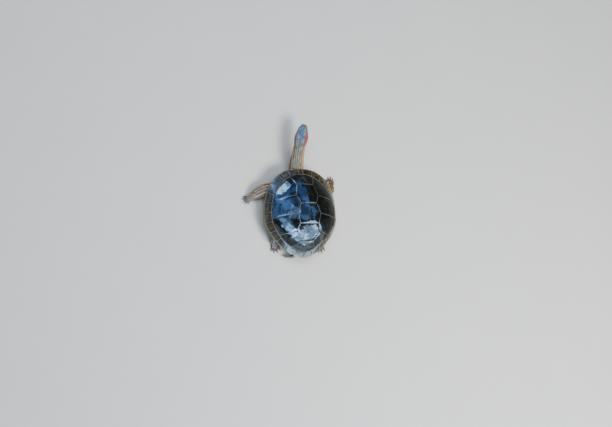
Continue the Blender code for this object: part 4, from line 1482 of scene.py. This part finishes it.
class Nodes:
    """A node tree, the place its textures are drawn in, and short ways to add linked nodes."""

    def __init__(self, tree, place):
        self.tree, self.place = tree, place

    def add(self, kind, inputs, **settings):
        """A node with its settings made and its inputs, by name or number, filled or linked."""
        node = self.tree.nodes.new("ShaderNode" + kind)
        for label, value in settings.items():
            setattr(node, label, value)
        for label, value in inputs.items():
            if isinstance(value, bpy.types.NodeSocket):
                self.tree.links.new(value, node.inputs[label])
            else:
                node.inputs[label].default_value = value
        return node

    def math(self, operation, *values):
        return self.add("Math", dict(enumerate(values)), operation=operation).outputs[0]

    def times(self, first, second):
        return self.math("MULTIPLY", first, second)

    def remap(self, value, low, high, out_low=0.0, out_high=1.0):
        given = dict(enumerate((value, low, high, out_low, out_high)))
        return self.add("MapRange", given, interpolation_type="SMOOTHSTEP").outputs[0]

    def between(self, share, first, second):
        first, second = (rgb(*c) if isinstance(c, tuple) else c for c in (first, second))
        return self.add("Mix", {0: share, 6: first, 7: second}, data_type="RGBA").outputs[2]

    def noise(self, scale, detail=4.0, roughness=0.55, distortion=0.0):
        given = {"Vector": self.place, "Scale": scale, "Detail": detail, "Roughness": roughness,
                 "Distortion": distortion}
        return self.add("TexNoise", given).outputs["Fac"]

    def uneven(self, scale, detail, amount):
        """Noise on both sides of zero."""
        return self.times(self.math("SUBTRACT", self.noise(scale, detail), 0.5), amount)


class Group(Nodes):
    """A shader group that is given a place and some numbers and has one result."""

    def __init__(self, name, result, **numbers):
        tree = bpy.data.node_groups.new(name, "ShaderNodeTree")
        tree.interface.new_socket("Place", in_out="INPUT", socket_type="NodeSocketVector")
        for label, value in numbers.items():
            tree.interface.new_socket(label, in_out="INPUT").default_value = value
        tree.interface.new_socket(result, in_out="OUTPUT")
        self.given = tree.nodes.new("NodeGroupInput").outputs
        super().__init__(tree, self.given["Place"])

    def finish(self, value):
        self.tree.links.new(value, self.tree.nodes.new("NodeGroupOutput").inputs[0])
        return self.tree


print("Node helpers are ready")

# %% [markdown]
# ### Five shared effects
#
# Blotches and a wavering band colour horn and skin alike, growth rings and fine grain give them
# relief, and a film of water makes them smooth in patches. Copying the nodes into each material
# would work too, but then a change would have to be made in every copy.

# %% Node groups
def group_blotches():
    """Soft-edged blotches: 0 between them, 1 inside."""
    group = Group("Blotches", "Mask", Size=200.0, Cover=0.5, Softness=0.1)
    low = group.math("SUBTRACT", 1.0, group.given["Cover"])
    high = group.math("ADD", low, group.given["Softness"])
    return group.finish(group.remap(group.noise(group.given["Size"], 5.0, 0.6, 0.4), low, high))


def group_band():
    """1 where a measured distance is below a width, fading over a softness."""
    group = Group("Band", "Mask", Distance=1.0, Width=1.0, Softness=0.3, Waver=0.0)
    distance = group.math("ADD", group.given["Distance"], group.uneven(260.0, 3.0, group.given["Waver"]))
    width = group.given["Width"]
    end = group.math("ADD", width, group.given["Softness"])
    return group.finish(group.remap(distance, width, end, 1.0, 0.0))


def group_rings():
    """Height of growth rings from a plate's edge inwards, uneven and fading."""
    group = Group("Growth rings", "Height", Distance=1.0, Spacing=1.6, Waver=1.2)
    depth = group.math("ADD", group.given["Distance"], group.uneven(90.0, 3.0, group.given["Waver"]))
    turns = group.math("DIVIDE", depth, group.given["Spacing"])
    wave = group.math("SINE", group.times(turns, 2 * math.pi))
    finer = group.math("SINE", group.times(turns, 5.3 * math.pi))
    wave = group.math("ADD", wave, group.times(finer, 0.4))
    return group.finish(group.times(wave, group.remap(group.noise(60.0, 2.0), 0.35, 0.65)))


def group_grain():
    """Fine grain of skin or horn: tiny cells and a speckle, as a height from 0 to 1."""
    group = Group("Fine grain", "Height", Cells=1400.0, Speckle=3000.0, Balance=0.5)
    given = {"Vector": group.place, "Scale": group.given["Cells"], "Smoothness": 0.4}
    cells = group.add("TexVoronoi", given, feature="SMOOTH_F1")
    domes = group.math("SUBTRACT", 1.0, cells.outputs["Distance"])
    speckle = group.noise(group.given["Speckle"], 3.0)
    mixed = group.add("Mix", {0: group.given["Balance"], 2: domes, 3: speckle}, data_type="FLOAT")
    return group.finish(mixed.outputs[0])


def group_wet_film():
    """Roughness of a surface that is wet in patches: low where water stands."""
    group = Group("Wet film", "Roughness", Wet=0.08, Dry=0.35, Size=45.0, Cover=0.6)
    low, high = (group.math(way, group.given["Cover"], 0.12) for way in ("SUBTRACT", "ADD"))
    field = group.noise(group.given["Size"], 6.0, 0.62)
    return group.finish(group.remap(field, low, high, group.given["Wet"], group.given["Dry"]))


BLOTCHES, BAND, RINGS = group_blotches(), group_band(), group_rings()
GRAIN, WET_FILM = group_grain(), group_wet_film()
print("Groups:", ", ".join(group.name for group in bpy.data.node_groups))

# %% [markdown]
# ## The finishes
#
# Wet horn is close to black and mirrors the sky, because water fills its pores. A clear coat
# over a rough base gives that look better than a polished base would, since both layers show.
# The same coat, thinner, wets the skin.

# %% A finish and what can be laid on it
class Finish(Nodes):
    """A material with short ways to lay one colour over another."""

    def __init__(self, name, roughness=0.4, specular=0.5, coat=0.0, coat_roughness=0.05, coat_ior=1.5):
        self.material = bpy.data.materials.new(name)
        self.material.use_nodes = True
        tree = self.material.node_tree
        self.surface = tree.nodes["Principled BSDF"]
        settings = {"Roughness": roughness, "Specular IOR Level": specular, "Coat Weight": coat,
                    "Coat Roughness": coat_roughness, "Coat IOR": coat_ior}
        for label, value in settings.items():
            self.surface.inputs[label].default_value = value
        super().__init__(tree, tree.nodes.new("ShaderNodeTexCoord").outputs["Object"])
        self.colour = None

    def stored(self, *names):
        """Sockets with the numbers that the mesh carries."""
        return [self.add("Attribute", {}, attribute_name=name).outputs["Fac"] for name in names]

    def use(self, group, **values):
        return self.add("Group", {"Place": self.place, **values}, node_tree=group).outputs[0]

    def blotches(self, size, cover, softness):
        return self.use(BLOTCHES, Size=size, Cover=cover, Softness=softness)

    def band(self, distance, width, softness, waver=0.0):
        return self.use(BAND, Distance=distance, Width=width, Softness=softness, Waver=waver)

    def rings(self, distance, spacing, waver):
        return self.use(RINGS, Distance=distance, Spacing=spacing, Waver=waver)

    def grain(self, cells, speckle, balance):
        return self.use(GRAIN, Cells=cells, Speckle=speckle, Balance=balance)

    def lay(self, share, colour):
        self.colour = self.between(share, self.colour, colour)

    def film(self, wet, dry, size, cover):
        """Roughness that differs between wet and dry patches."""
        wetness = self.use(WET_FILM, Wet=wet, Dry=dry, Size=size, Cover=cover)
        self.tree.links.new(wetness, self.surface.inputs["Roughness"])

    def dress(self, pieces, *heights):
        """Links colour and bumps, each (height, strength, distance in metres), and dresses pieces."""
        self.tree.links.new(self.colour, self.surface.inputs["Base Color"])
        below = {}
        for height, strength, distance in heights:
            node = self.add("Bump", {"Height": height, "Strength": strength, "Distance": distance, **below})
            below = {"Normal": node.outputs["Normal"]}
        self.tree.links.new(below["Normal"], self.surface.inputs["Normal"])
        for piece in pieces:
            piece.data.materials.clear()
            piece.data.materials.append(self.material)
        print(self.material.name, "on", len(pieces), "pieces")


# %% [markdown]
# ### The dome's horn
#
# Old sliders darken. The plates are nearly black, with ghosts of olive and faint growth rings,
# and a thin pale line of newest horn lies along every seam.

# %% Horn of the dome
def dress_dome(pieces):
    horn = Finish("wet_dark_horn", specular=0.06, coat=1.0, coat_roughness=0.10, coat_ior=1.60)
    edge, growth = horn.stored("edge_mm", "growth")
    ghosts = horn.blotches(95.0, 0.52, 0.16)
    horn.colour = horn.between(ghosts, (0.0075, 0.0085, 0.0080), (0.020, 0.022, 0.016))
    horn.lay(horn.times(horn.blotches(420.0, 0.44, 0.10), 0.35), (0.040, 0.040, 0.026))
    patchy = horn.remap(horn.noise(55.0, 3.0), 0.30, 0.60, 0.35, 1.0)
    horn.lay(horn.times(horn.band(edge, 0.32, 0.60, 0.8), patchy), (0.19, 0.18, 0.12))
    horn.lay(horn.band(edge, 0.02, 0.10), (0.05, 0.045, 0.03))
    horn.film(0.28, 0.55, 40.0, 0.55)
    x, y, _ = horn.add("SeparateXYZ", {0: horn.place}).outputs
    over = horn.math("MULTIPLY_ADD", y, 0.3, x)
    over = horn.math("ADD", over, horn.times(horn.noise(60.0, 4.0), 0.012))
    kept = horn.remap(over, -0.030, -0.014, 0.08, 1.0)
    wet = horn.remap(horn.blotches(48.0, 0.58, 0.14), 0.0, 1.0, 0.35, 1.0)
    horn.tree.links.new(horn.times(wet, kept), horn.surface.inputs["Coat Weight"])
    rings = horn.rings(horn.math("POWER", growth, 1.4), 0.105, 0.10)
    swell, fine = horn.noise(38.0, 3.0, 0.5, 0.6), horn.noise(130.0, 4.0)
    horn.dress(pieces, (swell, 0.35, 0.0030), (fine, 0.25, 0.0008), (rings, 0.12, 0.00010),
               (horn.grain(900.0, 1800.0, 0.6), 0.20, 0.00006))


dress_dome(DOME)

# %% [markdown]
# ### The rim's horn
#
# The rim plates are browner than the dome. Each has a pale seam, a yellow-olive bar in its
# middle and a worn pale edge. Underneath they are yellow with a dark spot on every seam.

# %% Horn of the rim
def dress_rim(pieces):
    horn = Finish("olive_rim_horn", specular=0.12, coat=0.5, coat_roughness=0.20, coat_ior=1.50)
    edge, rim, under = horn.stored("edge_mm", "rim_mm", "under")
    mottled = horn.blotches(110.0, 0.55, 0.20)
    horn.colour = horn.between(mottled, (0.024, 0.021, 0.014), (0.075, 0.062, 0.034))
    bar = horn.times(horn.remap(edge, 4.2, 6.2), horn.remap(horn.noise(75.0, 3.0), 0.40, 0.62))
    horn.lay(horn.times(bar, 0.55), (0.17, 0.135, 0.060))
    horn.lay(horn.times(horn.band(edge, 0.40, 0.70, 0.8), 0.7), (0.24, 0.21, 0.13))
    horn.lay(horn.times(horn.band(rim, 0.9, 1.8, 1.8), 0.75), (0.30, 0.27, 0.17))
    spotted = horn.between(horn.band(edge, 2.4, 1.0, 2.6), (0.60, 0.45, 0.14), (0.045, 0.040, 0.028))
    horn.lay(under, spotted)
    horn.film(0.18, 0.48, 50.0, 0.50)
    horn.dress(pieces, (horn.rings(edge, 1.5, 1.6), 0.22, 0.00010),
               (horn.grain(900.0, 1800.0, 0.6), 0.25, 0.00008))


dress_rim(RIM)

# %% [markdown]
# ### The lower shell's horn
#
# Yellow, with a dark smudge on each shield and dark grooves. It is damp but not glossy.

# %% Horn of the plastron
def dress_plastron(pieces):
    horn = Finish("yellow_plastron_horn", coat=0.4, coat_roughness=0.20)
    edge, blot = horn.stored("edge_mm", "blot_mm")
    horn.colour = horn.between(horn.blotches(60.0, 0.5, 0.25), (0.62, 0.46, 0.15), (0.70, 0.56, 0.22))
    blot = horn.math("ADD", blot, horn.uneven(85.0, 4.0, 9.0))
    horn.lay(horn.remap(blot, 5.0, 7.6, 0.0, 0.55), (0.16, 0.115, 0.045))
    inky = horn.times(horn.remap(blot, 6.4, 7.8), horn.blotches(120.0, 0.62, 0.22))
    horn.lay(inky, (0.042, 0.036, 0.024))
    horn.lay(horn.band(edge, 0.35, 0.6, 0.2), (0.20, 0.13, 0.05))
    horn.film(0.28, 0.50, 60.0, 0.5)
    horn.dress(pieces, (horn.rings(edge, 1.5, 1.5), 0.25, 0.00010), (horn.noise(1500.0, 3.0), 0.15, 0.00005))


dress_plastron([PLASTRON])

# %% [markdown]
# ### The skin
#
# Slate blue on the head, its dark skin with a painted reflection of the sky laid in, grey-brown on
# the neck, a redder brown on the limbs and yellow-grey below. Stripes are edged in black, as on the
# animal, which makes them look brighter. The colours are laid one over another, from the ground up,
# as a painter of models would.

# %% Wet striped skin
BLACK_EDGE = (0.022, 0.024, 0.016)


def dress_skin(pieces):
    skin = Finish("wet_striped_skin", specular=0.34, coat=0.08, coat_roughness=0.30, coat_ior=1.36)
    red, yellow, broad, raised, own = skin.stored("red_mm", "yellow_mm", "broad_mm", "raised", "own")
    under, limb, horn, painted_pit_shade, lid, face = skin.stored("under", "limb", "horn", "painted_pit_shade", "lid", "face")
    mottled = skin.blotches(170.0, 0.52, 0.22)

    def ground(darker, paler):
        return skin.between(mottled, darker, paler)

    neck = ground((0.125, 0.112, 0.090), (0.205, 0.185, 0.152))
    # The head's ground is dark skin tinted slate blue: a painted reflection of the blue sky in the wet skin.
    head_skin_with_painted_sky = ground((0.080, 0.118, 0.185), (0.185, 0.260, 0.375))
    brown = ground((0.120, 0.064, 0.042), (0.245, 0.140, 0.088))
    skin.colour = skin.between(limb, skin.between(face, neck, head_skin_with_painted_sky), brown)
    skin.lay(skin.times(under, 0.75), (0.26, 0.23, 0.13))
    each = skin.times(skin.math("SUBTRACT", own, 0.5), 0.5)
    skin.lay(skin.math("MAXIMUM", each, 0.0), (0.30, 0.26, 0.17))
    skin.lay(skin.times(skin.remap(yellow, -0.9, -0.25), 0.5), BLACK_EDGE)
    skin.lay(skin.remap(yellow, -0.12, 0.14), ground((0.50, 0.40, 0.11), (0.62, 0.53, 0.20)))
    skin.lay(skin.remap(broad, 0.0, 0.5), ground((0.66, 0.33, 0.08), (0.70, 0.44, 0.13)))
    skin.lay(skin.times(skin.remap(red, -0.9, -0.2), 0.7), (0.020, 0.020, 0.014))
    skin.lay(skin.remap(red, -0.12, 0.20), ground((0.52, 0.040, 0.018), (0.64, 0.085, 0.026)))
    beak = skin.times(horn, skin.remap(yellow, -0.2, -0.6, 0.0, 0.7))
    skin.lay(beak, ground((0.16, 0.14, 0.075), (0.24, 0.20, 0.10)))
    skin.lay(skin.times(lid, 0.5), (0.16, 0.15, 0.07))
    skin.lay(skin.remap(raised, 0.0, 0.8, 0.55, 0.0), (0.020, 0.018, 0.012))
    # Painted shade: the nostril pits and the mouth slit are laid near-black.
    skin.lay(painted_pit_shade, (0.012, 0.010, 0.008))
    skin.film(0.44, 0.66, 70.0, 0.52)
    granules = skin.times(skin.grain(620.0, 1400.0, 0.3), face)
    skin.dress(pieces, (skin.noise(420.0, 5.0, 0.6, 0.8), 0.45, 0.00035), (granules, 0.30, 0.00020),
               (skin.grain(1500.0, 3800.0, 0.35), 0.45, 0.00012))


dress_skin([SKIN])

# %% [markdown]
# ### Eyes and claws
#
# The iris is yellow-green, streaked outwards from the pupil, with a dark bar from corner to
# corner. Claws are dark horn at the root and paler towards the tip.

# %% Eye and claw finishes
def dress_eyes(pieces):
    eye = Finish("moist_eye", roughness=0.25, coat=1.0, coat_roughness=0.015, coat_ior=1.40)
    axis, bar, turn = eye.stored("from_axis", "bar", "turn")
    around = eye.add("CombineXYZ", {0: eye.times(turn, 9.0), 1: eye.times(axis, 0.05)}).outputs[0]
    streak = eye.add("TexNoise", {"Vector": around, "Scale": 1.6}, noise_dimensions="2D").outputs["Fac"]
    eye.colour = eye.between(eye.remap(streak, 0.35, 0.65), (0.20, 0.23, 0.04), (0.50, 0.47, 0.10))
    eye.lay(eye.remap(axis, 15.0, 20.0, 0.6, 0.0), (0.70, 0.62, 0.20))
    level = eye.math("ADD", eye.math("ABSOLUTE", bar), eye.uneven(900.0, 4.0, 6.0))
    eye.lay(eye.remap(level, 5.5, 8.5, 1.0, 0.0), (0.018, 0.018, 0.010))
    eye.lay(eye.remap(axis, 36.0, 40.0), (0.06, 0.055, 0.025))
    eye.lay(eye.remap(axis, 13.0, 14.5, 1.0, 0.0), (0.003, 0.003, 0.003))
    eye.dress(pieces, (eye.noise(2500.0, 2.0), 0.05, 0.00004))


def dress_claws(pieces):
    claw = Finish("claw_horn", coat=0.6, coat_roughness=0.12)
    along, = claw.stored("along")
    claw.colour = claw.between(claw.blotches(700.0, 0.5, 0.2), (0.045, 0.036, 0.024), (0.11, 0.085, 0.050))
    claw.lay(claw.remap(along, 0.45, 1.0), (0.38, 0.30, 0.19))
    claw.film(0.20, 0.42, 300.0, 0.5)
    claw.dress(pieces, (claw.noise(2200.0, 3.0), 0.25, 0.00008))


dress_eyes(EYES)
dress_claws(CLAWS)

# %% [markdown]
# ## Floor and light
#
# The model stands on a plain pale sheet. Two soft lamps light it: a warm key from one side for
# the shadow, and a broad fill from above. A wet shell is a mirror, so it also needs a sky to
# show. Here large pale and blue cards stand round the model. They can be seen only in glossy
# surfaces, and the two lamps only outside them, so light and mirror images are set apart.

# %% Floor, lamps and camera
FLOOR_SIZE, FLOOR_Z = 14.0, -0.0003
VIEW_LEAN = (0.346, 0.151)  # how far the view leans to the animal's left and to its rear
VIEW_TURN = -0.048
VIEW_SPAN = 0.002436  # of one dot of a picture that is VIEW_DOTS wide
VIEW_DOTS = 612
VIEW_CENTRE = (3.8, 0.6)  # how far the picture's middle lies right of and below the model, in dots
VIEW_DISTANCE = 5.0
SENSOR = 36
CARDS = (  # name, direction, distance, size, colour, radiance
    ("pale_card_high", (-0.42, 0.60, 0.68), 2.3, (1.4, 1.2), (0.50, 0.71, 1.0), 12.0),
    ("pale_card_low", (-0.52, 0.74, 0.27), 2.2, (1.5, 1.05), (0.46, 0.69, 1.0), 13.0),
    ("pale_card_rear", (0.06, 0.94, 0.33), 2.2, (1.6, 1.40), (0.42, 0.66, 1.0), 13.5),
    ("pale_card_side", (0.54, 0.74, 0.42), 2.2, (1.9, 1.2), (0.34, 0.60, 1.0), 12.0),
    ("pale_card_front", (0.50, -0.86, 0.12), 2.0, (1.0, 0.46), (0.40, 0.66, 1.0), 13.0),
    ("pale_card_top", (0.45, -0.22, 0.86), 2.3, (1.5, 1.2), (0.32, 0.58, 1.0), 6.5),
    ("blue_card_between", (0.80, 0.245, 0.50), 2.3, (1.3, 1.5), (0.30, 0.55, 1.0), 6.0),
    ("blue_card_side", (0.84, -0.44, 0.34), 2.3, (2.6, 1.8), (0.20, 0.45, 1.0), 3.0),
    ("blue_card_front", (0.34, -0.80, 0.50), 2.4, (3.4, 2.0), (0.14, 0.39, 1.0), 1.8),
    ("blue_card_above", (-0.16, -0.24, 0.95), 2.3, (2.2, 2.0), (0.19, 0.44, 1.0), 3.4),
)


def make_floor():
    half = FLOOR_SIZE / 2
    corners = [(x, y, FLOOR_Z) for x, y in ((-half, -half), (half, -half), (half, half), (-half, half))]
    floor = linked("floor_sheet", bare_mesh("floor_sheet", corners, [(0, 1, 2, 3)]))
    paper = Finish("pale_paper", roughness=0.85)
    paper.colour = paper.between(paper.noise(6.0, 4.0), (0.58, 0.575, 0.555), (0.62, 0.615, 0.595))
    paper.dress([floor], (paper.noise(900.0, 5.0), 0.15, 0.0002))


def make_lamp(name, direction, distance, size, colour, power, is_card=False):
    """A soft lamp that faces the model. A card only shows in wet surfaces and lights nothing."""
    lamp = bpy.data.lights.new(name, "AREA")
    lamp.shape, lamp.size, lamp.size_y = "RECTANGLE", *size
    lamp.color, lamp.energy = colour, power
    holder = linked(name, lamp)
    way = Vector(direction).normalized()
    holder.location = Vector((0, 0, 0.05)) + way * distance
    holder.rotation_euler = way.to_track_quat("Z", "Y").to_euler()
    holder.visible_camera = False
    holder.visible_diffuse = not is_card
    holder.visible_glossy = is_card


def make_world(colour, strength):
    world = bpy.data.worlds.new("studio_air")
    world.use_nodes = True
    backdrop = world.node_tree.nodes["Background"]
    backdrop.inputs["Color"].default_value = rgb(*colour)
    backdrop.inputs["Strength"].default_value = strength
    bpy.context.scene.world = world


def make_camera():
    left, rear = VIEW_LEAN
    towards = Vector((left, rear, math.sqrt(1 - left ** 2 - rear ** 2)))
    up = Vector((math.sin(VIEW_TURN), -math.cos(VIEW_TURN), 0))
    up = (up - towards * up.dot(towards)).normalized()
    right = up.cross(towards)
    target = Vector((0, 0, 0.045)) + (right * VIEW_CENTRE[0] - up * VIEW_CENTRE[1]) * VIEW_SPAN
    camera = bpy.data.cameras.new("camera")
    camera.sensor_width = SENSOR
    camera.lens = SENSOR * VIEW_DISTANCE / (VIEW_DOTS * VIEW_SPAN)
    camera.clip_end = 50
    holder = linked("camera", camera)
    turn = Matrix((right, up, towards)).transposed()
    holder.matrix_world = Matrix.LocRotScale(target + towards * VIEW_DISTANCE, turn, None)
    bpy.context.scene.camera = holder


make_floor()
make_lamp("key", (-0.40, 0.46, 0.80), 2.4, (1.15, 1.0), (1.0, 0.975, 0.94), 62)
make_lamp("fill", (0.10, -0.25, 0.96), 2.6, (2.4, 2.0), (0.97, 0.98, 1.0), 42)
for *card, size, colour, radiance in CARDS:
    power = radiance * math.pi * size[0] * size[1]
    make_lamp(*card, size, colour, power, is_card=True)
make_world((0.66, 0.72, 0.80), 0.16)
make_camera()
bpy.context.scene.view_settings.look = "AgX - Medium High Contrast"
print("Lights and camera are placed")
